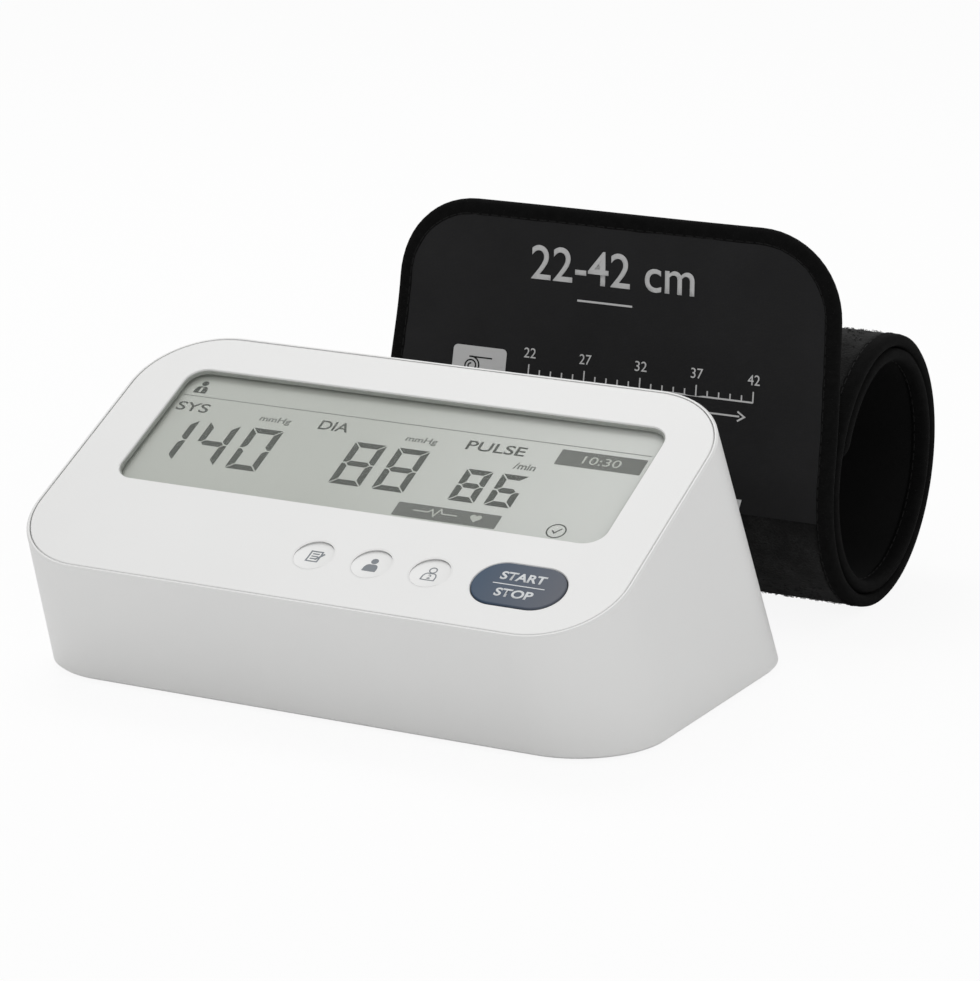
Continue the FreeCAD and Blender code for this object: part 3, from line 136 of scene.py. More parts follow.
class FinishColours(PropertyGroup):
    """Colours of the finishes."""
    housing: colour("Housing", "White moulded plastic", "#EDEDEC")
    slate: colour("Start button", "Slate moulded plastic", "#2B435B")
    # Painted reflection: the greyer right end of the start button stands for the white world mirrored in its
    # cap
    slate_reflection_edge: colour("Start button edge", "Greyer slate of the button's right end", "#555963")
    window: colour("Window", "Clear acrylic window", "#7C807C")
    display: colour("Display", "Grey-green display ground", "#BFC3BB")
    # Painted light: the paler right end of the display stands for brighter light there, and the darker left for
    # shade
    display_lit_edge: colour("Display edge", "Paler right end of the display ground", "#D6D9D4")
    segments: colour("Segments", "Dark display segments", "#4F534D")
    labels: colour("Display labels", "Grey words of the display", "#646862")
    hairline: colour("Display lines", "Pale grey display lines and units", "#888C86")
    # Painted shade: the window lining's grey stands for the shadow on the wall of the display's recess
    lining: colour("Window lining", "Grey lining of the display's window", "#A6A9A4")
    shade: colour("Display bars", "Mid grey display bars", "#737671")
    pale: colour("Display gaps", "Pale lettering in the display bars", "#C6CAC2")
    icons: colour("Button icons", "Grey print on the round buttons", "#878C91")
    letters: colour("Button letters", "White print on the start button", "#E9ECEE")
    nylon: colour("Smooth nylon", "Black smooth nylon of the flap", "#1C1C1D")
    inside: colour("Lining", "Black lining cloth of the strip", "#101010")
    pile: colour("Loop pile", "Black loop pile", "#0F0F0F")
    tape: colour("Edge tape", "Black folded edge tape", "#0E0E0E")
    cuff_print: colour("Cuff print", "Grey print on the flap", "#CBCBCB")
    rubber: colour("Rubber", "Dark grey rubber", "#3B3C3D")
    frames: colour("Frames", "Natural plastic of the inner frames", "#D9D6CC")
    black: colour("Black plastic", "Black moulded plastic", "#232425")
    jack: colour("Socket plastic", "Grey moulded plastic of the sockets", "#8C9094")
    tube: colour("Air tube", "Milky silicone tube", "#CDD2D0")
    board: colour("Board", "Green solder mask", "#1F5B3A")
    tracks: colour("Board tracks", "Paler green over the copper tracks", "#3C8A5C")
    steel: colour("Plated steel", "Zinc-plated steel", "#B9BCBE")
    jacket: colour("Cell jacket", "Printed jacket of the cells", "#3F6E8C")
    film: colour("Bladder film", "Milky film of the bladder", "#C9C6BC")


class StudioSettings(PropertyGroup):
    """Camera, lamps and floor of the studio."""
    eye: FloatVectorProperty(name="Camera place", description="Place of the camera", subtype="TRANSLATION",
                             default=(0.51764, -0.94678, 0.35187), precision=5)
    sight: FloatVectorProperty(name="Camera direction", description="Direction of the camera's view",
                               subtype="DIRECTION", default=(-0.44488, 0.85411, -0.26941), precision=5)
    lens: FloatProperty(name="Lens", description="Focal length for a 36 mm film", default=145.35,
                        unit="CAMERA")
    key_power: FloatProperty(name="Key power", description="Power of the large lamp overhead", default=4.6,
                             unit="POWER")
    fill_power: FloatProperty(name="Fill power", description="Power of the soft lamp in front", default=1.4,
                              unit="POWER")
    world_level: FloatProperty(name="World level", description="Level of the light all round", default=0.6)
    floor: colour("Floor", "Pale studio floor", "#FAFAFA")
    glow: colour("Glow", "White of the floor and world to the camera", "#FFFFFF")


# Node trees

def pattern_scale(size):
    """Scale of a noise, cell or brick pattern whose features have this size in millimetres."""
    return 1 / (size * MM)


def band_scale(pitch):
    """Scale of a wave pattern whose bands repeat at this pitch in millimetres."""
    return 2 * math.pi / (WAVE_TURN * pitch * MM)


def shaded(tone, share):
    """Tone made darker by a share under 1, or paler by a share over 1."""
    return [part * share for part in tone[:3]] + [1.0]


def two_tones(first, second):
    """Settings of a mix between two tones."""
    return {"data_type": "RGBA", MIX_FIRST: first, MIX_SECOND: second}


def gloss_range(roughness):
    """Settings that spread a pattern to a little under and over a roughness."""
    return {"To Min": roughness - GLOSS_SPREAD, "To Max": roughness + GLOSS_SPREAD}


def add_node(tree, kind, settings=None, links=None):
    """Adds one node, with values for its settings or sockets and sources for its linked sockets."""
    made = tree.nodes.new(kind)
    for key, value in (settings or {}).items():
        if isinstance(key, str) and key in made.bl_rna.properties:
            setattr(made, key, value)
        else:
            made.inputs[key].default_value = value
    for key, source in (links or {}).items():
        tree.links.new(source, made.inputs[key])
    return made


def start_material(name, flat=False):
    """New material, its empty node tree and the place of its patterns: in space, or flat on a cloth."""
    material = bpy.data.materials.new(name)
    material.use_nodes = True
    tree = material.node_tree
    tree.nodes.clear()
    if flat:
        return material, tree, add_node(tree, "ShaderNodeUVMap").outputs["UV"]
    return material, tree, add_node(tree, "ShaderNodeTexCoord").outputs["Object"]


def close_material(material, settings, links):
    """Principled shader and output at the end of a material's node tree."""
    shader = add_node(material.node_tree, "ShaderNodeBsdfPrincipled", settings, links)
    add_node(material.node_tree, "ShaderNodeOutputMaterial", None, {"Surface": shader.outputs["BSDF"]})
    return material


# Plastics, with the sizes and depths of their patterns in millimetres
PLASTIC_IOR = 1.53
GLOSS_SPREAD = 0.05
FLOW_SIZE = 34.0
GRAIN_STRENGTH = 0.35
SLATE_GRAIN = 0.35
SLATE_DEPTH = 0.03
SLATE_ROUGHNESS = 0.49
# Painted reflection of the start button: where the cap's tone runs from bluer to greyer, in millimetres across
SLATE_REFLECTION_LEFT = 50.0
SLATE_REFLECTION_RIGHT = 76.0
WIPE_SIZE = 18.0
MOTTLE_SIZE = 0.5
MOTTLE_DEPTH = 0.02
# Painted light of the display: where its tone runs from darker to paler, in millimetres across
DISPLAY_LIGHT_LEFT = -10.0
DISPLAY_LIGHT_RIGHT = 72.0
MESH_SIZE = 0.4
DUST_SIZE = 5.0
RUBBER_GRAIN = 0.6
RUBBER_DEPTH = 0.05
CLOUD_SIZE = 3.0
CLOUD_DEPTH = 0.03
MILK_DEPTH = 1.5


def moulded_plastic(name, tone, roughness, grain, depth):
    """Moulded plastic: satin spark-eroded grain, with a slow drift of tone from the flow in the mould."""
    material, tree, place = start_material(name)
    flow = add_node(tree, "ShaderNodeTexNoise", {"Scale": pattern_scale(FLOW_SIZE), "Detail": 2.0},
                    {"Vector": place})
    grit = add_node(tree, "ShaderNodeTexNoise", {"Scale": pattern_scale(grain), "Detail": 3.0},
                    {"Vector": place})
    tint = add_node(tree, "ShaderNodeMix", two_tones(shaded(tone, 0.965), tone),
                    {MIX_FACTOR: flow.outputs["Fac"]})
    gloss = add_node(tree, "ShaderNodeMapRange", gloss_range(roughness), {"Value": grit.outputs["Fac"]})
    bump = add_node(tree, "ShaderNodeBump", {"Strength": GRAIN_STRENGTH, "Distance": depth * MM},
                    {"Height": grit.outputs["Fac"]})
    return close_material(material, {"IOR": PLASTIC_IOR},
                          {"Base Color": tint.outputs[MIX_RESULT], "Roughness": gloss.outputs["Result"],
                           "Normal": bump.outputs["Normal"]})


def slate_plastic(name, tone, edge):
    """Moulded slate plastic: satin, with a painted reflection that runs from a bluer to a greyer slate across
    the cap.
    """
    material, tree, place = start_material(name)
    split = add_node(tree, "ShaderNodeSeparateXYZ", None, {"Vector": place})
    across = add_node(tree, "ShaderNodeMapRange", {"From Min": SLATE_REFLECTION_LEFT * MM, "From Max": SLATE_REFLECTION_RIGHT * MM},
                      {"Value": split.outputs["X"]})
    grit = add_node(tree, "ShaderNodeTexNoise", {"Scale": pattern_scale(SLATE_GRAIN), "Detail": 3.0},
                    {"Vector": place})
    # Painted reflection: the tone runs from bluer to greyer across the cap, standing for the white world
    # mirrored in it
    tint = add_node(tree, "ShaderNodeMix", two_tones(tone, edge), {MIX_FACTOR: across.outputs["Result"]})
    gloss = add_node(tree, "ShaderNodeMapRange", gloss_range(SLATE_ROUGHNESS), {"Value": grit.outputs["Fac"]})
    bump = add_node(tree, "ShaderNodeBump", {"Strength": GRAIN_STRENGTH, "Distance": SLATE_DEPTH * MM},
                    {"Height": grit.outputs["Fac"]})
    return close_material(material, {"IOR": PLASTIC_IOR, "Specular IOR Level": 0.25},
                          {"Base Color": tint.outputs[MIX_RESULT], "Roughness": gloss.outputs["Result"],
                           "Normal": bump.outputs["Normal"]})


def clear_acrylic(name, tone):
    """Clear acrylic window: polished, nearly all see-through, with faint wiping marks in its gloss."""
    material, tree, place = start_material(name)
    wiped = add_node(tree, "ShaderNodeTexNoise", {"Scale": pattern_scale(WIPE_SIZE), "Detail": 4.0},
                     {"Vector": place})
    gloss = add_node(tree, "ShaderNodeMapRange", {"To Min": 0.04, "To Max": 0.12},
                     {"Value": wiped.outputs["Fac"]})
    return close_material(material, {"Base Color": tone, "IOR": 1.49, "Alpha": 0.05},
                          {"Roughness": gloss.outputs["Result"]})


def display_glass(name, tone, edge):
    """Polariser film on the display: satin grey-green, with painted light that makes it darker to the left and
    paler to the right, and finely mottled.
    """
    material, tree, place = start_material(name)
    split = add_node(tree, "ShaderNodeSeparateXYZ", None, {"Vector": place})
    across = add_node(tree, "ShaderNodeMapRange",
                      {"From Min": DISPLAY_LIGHT_LEFT * MM, "From Max": DISPLAY_LIGHT_RIGHT * MM},
                      {"Value": split.outputs["X"]})
    mottle = add_node(tree, "ShaderNodeTexNoise", {"Scale": pattern_scale(MOTTLE_SIZE), "Detail": 2.0},
                      {"Vector": place})
    # Painted light: darker towards the left and paler towards the right
    ground = add_node(tree, "ShaderNodeMix", two_tones(shaded(tone, 0.96), edge),
                      {MIX_FACTOR: across.outputs["Result"]})
    gloss = add_node(tree, "ShaderNodeMapRange", {"To Min": 0.38, "To Max": 0.5},
                     {"Value": mottle.outputs["Fac"]})
    bump = add_node(tree, "ShaderNodeBump", {"Strength": 0.12, "Distance": MOTTLE_DEPTH * MM},
                    {"Height": mottle.outputs["Fac"]})
    return close_material(material, {"IOR": 1.5},
                          {"Base Color": ground.outputs[MIX_RESULT], "Roughness": gloss.outputs["Result"],
                           "Normal": bump.outputs["Normal"]})


def screen_ink(name, tone, roughness):
    """Screen-printed ink: flat and even, with a slightly grainy gloss from the mesh of the screen."""
    material, tree, place = start_material(name)
    mesh = add_node(tree, "ShaderNodeTexNoise", {"Scale": pattern_scale(MESH_SIZE), "Detail": 2.0},
                    {"Vector": place})
    tint = add_node(tree, "ShaderNodeMix", two_tones(shaded(tone, 0.93), tone),
                    {MIX_FACTOR: mesh.outputs["Fac"]})
    gloss = add_node(tree, "ShaderNodeMapRange", gloss_range(roughness), {"Value": mesh.outputs["Fac"]})
    return close_material(material, {"IOR": PLASTIC_IOR, "Specular IOR Level": 0.15},
                          {"Base Color": tint.outputs[MIX_RESULT], "Roughness": gloss.outputs["Result"]})


def rubber(name, tone):
    """Moulded rubber: matt, dusty grey-black with a coarse soft grain."""
    material, tree, place = start_material(name)
    dust = add_node(tree, "ShaderNodeTexNoise", {"Scale": pattern_scale(DUST_SIZE), "Detail": 5.0},
                    {"Vector": place})
    grain = add_node(tree, "ShaderNodeTexVoronoi", {"Scale": pattern_scale(RUBBER_GRAIN)}, {"Vector": place})
    tint = add_node(tree, "ShaderNodeMix", two_tones(shaded(tone, 0.75), tone),
                    {MIX_FACTOR: dust.outputs["Fac"]})
    bump = add_node(tree, "ShaderNodeBump", {"Strength": 0.3, "Distance": RUBBER_DEPTH * MM},
                    {"Height": grain.outputs["Distance"]})
    return close_material(material, {"IOR": 1.52, "Roughness": 0.78},
                          {"Base Color": tint.outputs[MIX_RESULT], "Normal": bump.outputs["Normal"]})


def silicone(name, tone):
    """Extruded silicone: milky and soft to light, slightly cloudy."""
    material, tree, place = start_material(name)
    cloud = add_node(tree, "ShaderNodeTexNoise", {"Scale": pattern_scale(CLOUD_SIZE), "Detail": 3.0},
                     {"Vector": place})
    tint = add_node(tree, "ShaderNodeMix", two_tones(shaded(tone, 0.88), tone),
                    {MIX_FACTOR: cloud.outputs["Fac"]})
    bump = add_node(tree, "ShaderNodeBump", {"Strength": 0.15, "Distance": CLOUD_DEPTH * MM},
                    {"Height": cloud.outputs["Fac"]})
    milk = {"IOR": 1.41, "Roughness": 0.42, "Subsurface Weight": 0.3, "Subsurface Scale": MILK_DEPTH * MM}
    return close_material(material, milk,
                          {"Base Color": tint.outputs[MIX_RESULT], "Normal": bump.outputs["Normal"]})


# Board, metals and cells, with the sizes and depths of their patterns in millimetres
TRACK_PITCH = 7.0
TRACK_SHARE = 0.02
GLASS_WEAVE = 0.7
GLASS_DEPTH = 0.04
SPANGLE_SIZE = 1.2
JACKET_PITCH = 25.0
JACKET_FILM = 6.0


def solder_mask(name, tone, copper):
    """Glass-fibre board under solder mask: glossy green, with paler tracks and a faint weave."""
    material, tree, place = start_material(name)
    tracks = add_node(tree, "ShaderNodeTexBrick",
                      {"Scale": pattern_scale(TRACK_PITCH), "Mortar Size": TRACK_SHARE,
                       "Color1": shaded(tone, 0.85), "Color2": tone, "Mortar": copper}, {"Vector": place})
    weave = add_node(tree, "ShaderNodeTexNoise", {"Scale": pattern_scale(GLASS_WEAVE), "Detail": 2.0},
                     {"Vector": place})
    bump = add_node(tree, "ShaderNodeBump", {"Strength": 0.2, "Distance": GLASS_DEPTH * MM},
                    {"Height": weave.outputs["Fac"]})
    return close_material(material, {"IOR": 1.55, "Roughness": 0.3},
                          {"Base Color": tracks.outputs["Color"], "Normal": bump.outputs["Normal"]})


def plated_steel(name, tone, roughness):
    """Zinc-plated steel: cool grey metal, its gloss broken by spangle."""
    material, tree, place = start_material(name)
    spangle = add_node(tree, "ShaderNodeTexNoise", {"Scale": pattern_scale(SPANGLE_SIZE), "Detail": 4.0},
                       {"Vector": place})
    tint = add_node(tree, "ShaderNodeMix", two_tones(shaded(tone, 0.85), tone),
                    {MIX_FACTOR: spangle.outputs["Fac"]})
    gloss = add_node(tree, "ShaderNodeMapRange", gloss_range(roughness), {"Value": spangle.outputs["Fac"]})
    return close_material(material, {"Metallic": 1.0},
                          {"Base Color": tint.outputs[MIX_RESULT], "Roughness": gloss.outputs["Result"]})


def printed_jacket(name, tone):
    """Shrunk plastic jacket of a dry cell: glossy printed film with bands of a darker tone."""
    material, tree, place = start_material(name)
    bands = add_node(tree, "ShaderNodeTexWave", {"Scale": band_scale(JACKET_PITCH), "Detail": 0.0},
                     {"Vector": place})
    edge = add_node(tree, "ShaderNodeMapRange", {"From Min": 0.82, "From Max": 0.86},
                    {"Value": bands.outputs["Fac"]})
    tint = add_node(tree, "ShaderNodeMix", two_tones(tone, shaded(tone, 0.35)),
                    {MIX_FACTOR: edge.outputs["Result"]})
    film = add_node(tree, "ShaderNodeTexNoise", {"Scale": pattern_scale(JACKET_FILM), "Detail": 3.0},
                    {"Vector": place})
    gloss = add_node(tree, "ShaderNodeMapRange", {"To Min": 0.2, "To Max": 0.32},
                     {"Value": film.outputs["Fac"]})
    return close_material(material, {"IOR": PLASTIC_IOR},
                          {"Base Color": tint.outputs[MIX_RESULT], "Roughness": gloss.outputs["Result"]})


# Woven cloths: pitch and depth of the threads in millimetres, roughness and sheen
BASE_WEAVE = (0.5, 0.08, 0.6, 0.05)
LINING_WEAVE = (0.5, 0.08, 0.8, 0.0)
HOOK_WEAVE = (1.4, 0.3, 0.55, 0.05)
# Threads of fine nylon are about 0.2 mm apart, too fine to show here, so they are drawn at 0.45 mm
TAFFETA_WEAVE = (0.45, 0.05, 0.5, 0.06)

# Patterns of the cloths, with sizes and depths in millimetres
THREAD_SHARE = 0.35
WEAR_SIZE = 26.0
PILE_LOOP = 0.6
PILE_DEPTH = 0.25
COMB_SIZE = 9.0
RIB_PITCH = 0.7
RIB_DEPTH = 0.12
FUZZ_SIZE = 2.5
LINT_SIZE = 1.5


def woven_cloth(name, tone, thread, depth, roughness, sheen):
    """Plain woven nylon: crossing threads that catch light in rows, with slow patches of wear."""
    material, tree, place = start_material(name, flat=True)
    rows = {"Scale": band_scale(thread), "Distortion": 0.6, "Detail": 1.0}
    warp = add_node(tree, "ShaderNodeTexWave", {"bands_direction": "X", **rows}, {"Vector": place})
    weft = add_node(tree, "ShaderNodeTexWave", {"bands_direction": "Y", **rows}, {"Vector": place})
    weave = add_node(tree, "ShaderNodeMath", {"operation": "MULTIPLY"},
                     {0: warp.outputs["Fac"], 1: weft.outputs["Fac"]})
    wear = add_node(tree, "ShaderNodeTexNoise", {"Scale": pattern_scale(WEAR_SIZE), "Detail": 4.0},
                    {"Vector": place})
    blend = add_node(tree, "ShaderNodeMath", {"operation": "MULTIPLY_ADD", 1: THREAD_SHARE},
                     {0: weave.outputs["Value"], 2: wear.outputs["Fac"]})
    tint = add_node(tree, "ShaderNodeMix", two_tones(shaded(tone, 0.55), shaded(tone, 1.4)),
                    {MIX_FACTOR: blend.outputs["Value"]})
    bump = add_node(tree, "ShaderNodeBump", {"Strength": 0.4, "Distance": depth * MM},
                    {"Height": weave.outputs["Value"]})
    cloth = {"IOR": PLASTIC_IOR, "Roughness": roughness, "Specular IOR Level": 0.1, "Sheen Weight": sheen,
             "Sheen Roughness": 0.5}
    return close_material(material, cloth,
                          {"Base Color": tint.outputs[MIX_RESULT], "Normal": bump.outputs["Normal"]})


def brushed_pile(name, tone):
    """Brushed loop pile: tangled loops that swallow light, with paler tips and combed patches."""
    material, tree, place = start_material(name, flat=True)
    loops = add_node(tree, "ShaderNodeTexVoronoi", {"Scale": pattern_scale(PILE_LOOP)}, {"Vector": place})
    combed = add_node(tree, "ShaderNodeTexNoise", {"Scale": pattern_scale(COMB_SIZE), "Detail": 5.0},
                      {"Vector": place})
    patches = add_node(tree, "ShaderNodeMapRange",
                       {"From Min": 0.38, "From Max": 0.66, "To Min": 0.15, "To Max": 1.1},
                       {"Value": combed.outputs["Fac"]})
    tips = add_node(tree, "ShaderNodeMath", {"operation": "MULTIPLY"},
                    {0: loops.outputs["Distance"], 1: patches.outputs["Result"]})
    tint = add_node(tree, "ShaderNodeMix", two_tones(shaded(tone, 0.5), shaded(tone, 4.4)),
                    {MIX_FACTOR: tips.outputs["Value"]})
    bump = add_node(tree, "ShaderNodeBump", {"Strength": 0.5, "Distance": PILE_DEPTH * MM},
                    {"Height": loops.outputs["Distance"]})
    cloth = {"IOR": PLASTIC_IOR, "Roughness": 0.92, "Specular IOR Level": 0.08, "Sheen Weight": 0.05,
             "Sheen Roughness": 0.6}
    return close_material(material, cloth,
                          {"Base Color": tint.outputs[MIX_RESULT], "Normal": bump.outputs["Normal"]})


def ribbed_tape(name, tone):
    """Folded binding tape: close ribs across its length, matt, with a fuzzy paler edge here and there."""
    material, tree, place = start_material(name, flat=True)
    rows = {"bands_direction": "Y", "Scale": band_scale(RIB_PITCH), "Distortion": 0.8, "Detail": 2.0}
    ribs = add_node(tree, "ShaderNodeTexWave", rows, {"Vector": place})
    fuzz = add_node(tree, "ShaderNodeTexNoise", {"Scale": pattern_scale(FUZZ_SIZE), "Detail": 4.0},
                    {"Vector": place})
    tint = add_node(tree, "ShaderNodeMix", two_tones(shaded(tone, 0.7), shaded(tone, 1.9)),
                    {MIX_FACTOR: fuzz.outputs["Fac"]})
    bump = add_node(tree, "ShaderNodeBump", {"Strength": 0.5, "Distance": RIB_DEPTH * MM},
                    {"Height": ribs.outputs["Fac"]})
    return close_material(material, {"IOR": PLASTIC_IOR, "Roughness": 0.9, "Specular IOR Level": 0.03},
                          {"Base Color": tint.outputs[MIX_RESULT], "Normal": bump.outputs["Normal"]})


def filament(name, tone):
    """Nylon filament: a fine round thread, black with paler lint."""
    material, tree, place = start_material(name)
    lint = add_node(tree, "ShaderNodeTexNoise", {"Scale": pattern_scale(LINT_SIZE), "Detail": 3.0},
                    {"Vector": place})
    tint = add_node(tree, "ShaderNodeMix", two_tones(shaded(tone, 0.6), shaded(tone, 1.5)),
                    {MIX_FACTOR: lint.outputs["Fac"]})
    return close_material(material, {"IOR": PLASTIC_IOR, "Roughness": 0.75, "Specular IOR Level": 0.15},
                          {"Base Color": tint.outputs[MIX_RESULT]})


# Piece making

def deselect():
    """Leaves nothing selected."""
    bpy.ops.object.select_all(action="DESELECT")


def pick(*pieces):
    """Selects these pieces alone, the first one active."""
    deselect()
    for piece in pieces:
        piece.select_set(True)
    bpy.context.view_layer.objects.active = pieces[0]


def join(name, pieces):
    """Joins pieces into one."""
    pick(*pieces)
    bpy.ops.object.join()
    pieces[0].name = name
    return pieces[0]


def edit(piece, operator, **settings):
    """Runs one mesh operator on the whole of a piece."""
    pick(piece)
    bpy.ops.object.mode_set(mode="EDIT")
    bpy.ops.mesh.select_all(action="SELECT")
    operator(**settings)
    bpy.ops.object.mode_set(mode="OBJECT")


def modify(piece, kind, **settings):
    """Adds one modifier with these settings and applies it."""
    pick(piece)
    bpy.ops.object.modifier_add(type=kind)
    modifier = piece.modifiers[-1]
    for key, value in settings.items():
        setattr(modifier, key, value)
    bpy.ops.object.modifier_apply(modifier=modifier.name)


def thicken(piece, thickness, offset):
    """Gives a sheet its thickness: outwards with offset 1, inwards with -1, both ways with 0."""
    modify(piece, "SOLIDIFY", thickness=thickness, offset=offset)


def smooth(piece):
    """Smooths all faces of a piece."""
    pick(piece)
    bpy.ops.object.shade_smooth()


def smooth_faces(piece):
    """Smooths the faces of a piece and keeps its edges sharp."""
    pick(piece)
    bpy.ops.object.shade_smooth_by_angle(angle=SMOOTH_ANGLE)


def dress(piece, body, material, nodes=()):
    """Gives a piece its material and body, and hides the nodes that it stands for."""
    piece.data.materials.clear()
    piece.data.materials.append(material)
    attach(piece, body)
    if nodes:
        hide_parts(*nodes)


def flat_shape(points):
    """Flat piece with this outline, counter-clockwise in millimetres."""
    deselect()
    bpy.ops.mesh.primitive_circle_add(vertices=len(points), fill_type="NGON")
    piece = bpy.context.object
    for vertex, (x, y) in zip(piece.data.vertices, points):
        vertex.co = (x * MM, y * MM, 0)
    return piece


def box_points(left, right, bottom, top):
    """Outline of a box, counter-clockwise."""
    return [(left, bottom), (right, bottom), (right, top), (left, top)]


# Least cosine at a ribbon's joint, which keeps its mitre short
MITRE_LIMIT = 0.4


def ribbon_sides(points, width, closed):
    """Right and left edge of a ribbon at each of its points, mitred at the joints."""
    places = [Vector(point) * MM for point in points]
    last = len(places) - 1
    sides = []
    for number, place in enumerate(places):
        ways = []
        if closed or number > 0:
            ways.append((place - places[number - 1]).normalized())
        if closed or number < last:
            ways.append((places[(number + 1) % len(places)] - place).normalized())
        way = sum(ways, Vector((0, 0))).normalized()
        reach = width / 2 / max(MITRE_LIMIT, way.dot(ways[0]))
        left = Vector((-way.y, way.x)) * reach
        sides.append((place - left, place + left))
    return sides


def flat_line(points, width, closed=False):
    """Flat ribbon along points in millimetres."""
    sides = ribbon_sides(points, width, closed)
    if closed:
        sides.append(sides[0])
    deselect()
    bpy.ops.mesh.primitive_grid_add(x_subdivisions=len(sides) - 1, y_subdivisions=1, size=1)
    piece = bpy.context.object
    for number, (right, left) in enumerate(sides):
        piece.data.vertices[number].co = right.to_3d()
        piece.data.vertices[number + len(sides)].co = left.to_3d()
    edit(piece, bpy.ops.mesh.remove_doubles, threshold=WELD)
    return piece


def ring_points(centre, radius, steps, start=0.0, turn=2 * math.pi):
    """Points round an arc, counter-clockwise in millimetres."""
    x, y = centre
    angles = [start + turn * step / steps for step in range(steps)]
    return [(x + radius * math.cos(spin), y + radius * math.sin(spin)) for spin in angles]


# Points in each corner of a rounded box
BOX_CORNER_STEPS = 6


def rounded_box(left, right, bottom, top, corner):
    """Outline of a box with round corners, counter-clockwise in millimetres."""
    centres = box_points(left + corner, right - corner, bottom + corner, top - corner)
    turn = QUARTER * BOX_CORNER_STEPS / (BOX_CORNER_STEPS - 1)
    points = []
    for number, centre in enumerate(centres[1:] + centres[:1]):
        points += ring_points(centre, corner, BOX_CORNER_STEPS, (number - 1) * QUARTER, turn)
    return points


def lettering(words, box, weight=0.0):
    """Flat letters that fill a box in millimetres, bolder by a share of their size."""
    deselect()
    bpy.ops.object.text_add()
    piece = bpy.context.object
    piece.data.body = words
    piece.data.offset = weight
    bpy.ops.object.convert(target="MESH")
    piece = bpy.context.object
    left, right, bottom, top = box
    xs = [vertex.co.x for vertex in piece.data.vertices]
    ys = [vertex.co.y for vertex in piece.data.vertices]
    first, low = min(xs), min(ys)
    wide, tall = max(xs) - first, max(ys) - low
    for vertex in piece.data.vertices:
        across = (vertex.co.x - first) / wide
        up = (vertex.co.y - low) / tall
        vertex.co = ((left + (right - left) * across) * MM, (bottom + (top - bottom) * up) * MM, 0)
    return piece


def repeat(name, model, places):
    """Copies of a small model at many places, as one piece, and the model is removed."""
    corners = [vertex.co.copy() for vertex in model.data.vertices]
    sides = [list(face.vertices) for face in model.data.polygons]
    points = [place @ corner for place in places for corner in corners]
    starts = [number * len(corners) for number in range(len(places))]
    faces = [[start + index for index in side] for start in starts for side in sides]
    mesh = bpy.data.meshes.new(name)
    mesh.from_pydata(points, [], faces)
    piece = bpy.data.objects.new(name, mesh)
    bpy.context.scene.collection.objects.link(piece)
    bpy.data.objects.remove(model)
    return piece


# Face of the monitor

def face_frame():
    """Frame of the face: across, up the slope and outwards, from the middle of its panel."""
    press = next(joint for joint in frame["joints"] if joint["name"] == "start_stop_press")
    outwards = -Vector(press["axis"]).normalized()
    across = Vector((1, 0, 0))
    up = outwards.cross(across)
    turn = Matrix((across, up, outwards))
    places = [turn @ vertex.co for vertex in frame["nodes"]["face_panel"].data.vertices]
    middle = [(min(column) + max(column)) / 2 for column in zip(*places)]
    middle[2] = max(place.z for place in places)
    return turn.transposed().to_4x4() @ Matrix.Translation(middle)


FACE = face_frame()

# Height from which a sign is laid on its button, and the cuts that let it bend
DROP_HEIGHT = 2 * MM
PRINT_CUTS = 2


def face_height(node):
    """Height of a node's highest point over the face."""
    inverse = FACE.inverted()
    return max((inverse @ vertex.co).z for vertex in frame["nodes"][node].data.vertices)


def set_on_face(piece, height):
    """Places a flat piece at a height over the face."""
    pick(piece)
    piece.matrix_world = FACE @ Matrix.Translation((0, 0, height))
    bpy.ops.object.transform_apply(location=True, rotation=True, scale=True)


def print_on_face(name, shapes, thickness, height, body, ink):
    """Joins flat shapes to one print and lays it at a height over the face."""
    piece = join(name, shapes)
    thicken(piece, thickness, 1)
    set_on_face(piece, height)
    dress(piece, body, ink)


def press_onto(piece, node, ink):
    """Lays a flat piece on a hollow face, straight down from above."""
    piece.matrix_world = FACE @ Matrix.Translation((0, 0, DROP_HEIGHT))
    edit(piece, bpy.ops.mesh.quads_convert_to_tris)
    edit(piece, bpy.ops.mesh.subdivide, number_cuts=PRINT_CUTS)
    modify(piece, "SHRINKWRAP", target=frame["nodes"][node], wrap_method="PROJECT", use_project_z=True,
           use_negative_direction=True, use_positive_direction=False)
    bpy.ops.object.transform_apply(location=True, rotation=True, scale=True)
    thicken(piece, ink, 1)


# Segments that each figure lights
LIT_SEGMENTS = {"0": "abcdef", "1": "bc", "4": "bcfg", "6": "acdefg", "8": "abcdefg"}


def segment_points(letter, width, height, stroke, gap):
    """Outline of one segment in a digit's cell, counter-clockwise."""
    middle = height / 2
    bar = [(gap, height), (stroke + gap, height - stroke), (width - stroke - gap, height - stroke),
           (width - gap, height)]
    post = [(0, height - gap), (0, middle + gap), (stroke / 2, middle + gap),
            (stroke, middle + stroke / 2 + gap), (stroke, height - stroke - gap)]
    bridge = [(stroke / 2 + gap, middle), (stroke + gap, middle - stroke / 2),
              (width - stroke - gap, middle - stroke / 2), (width - stroke / 2 - gap, middle),
              (width - stroke - gap, middle + stroke / 2), (stroke + gap, middle + stroke / 2)]
    outline = {"a": bar, "d": bar, "g": bridge}.get(letter, post)
    if letter in "bc":
        outline = [(width - x, y) for x, y in reversed(outline)]
    if letter in "cde":
        outline = [(x, height - y) for x, y in reversed(outline)]
    return outline


def digit(figure, left, bottom, size, sizes):
    """Lit segments of one figure as flat pieces."""
    cell = [part / MM for part in (*size, sizes.digit_stroke, sizes.segment_gap)]
    outlines = [segment_points(letter, *cell) for letter in LIT_SEGMENTS[figure]]
    return [flat_shape([(left + x, bottom + y) for x, y in outline]) for outline in outlines]


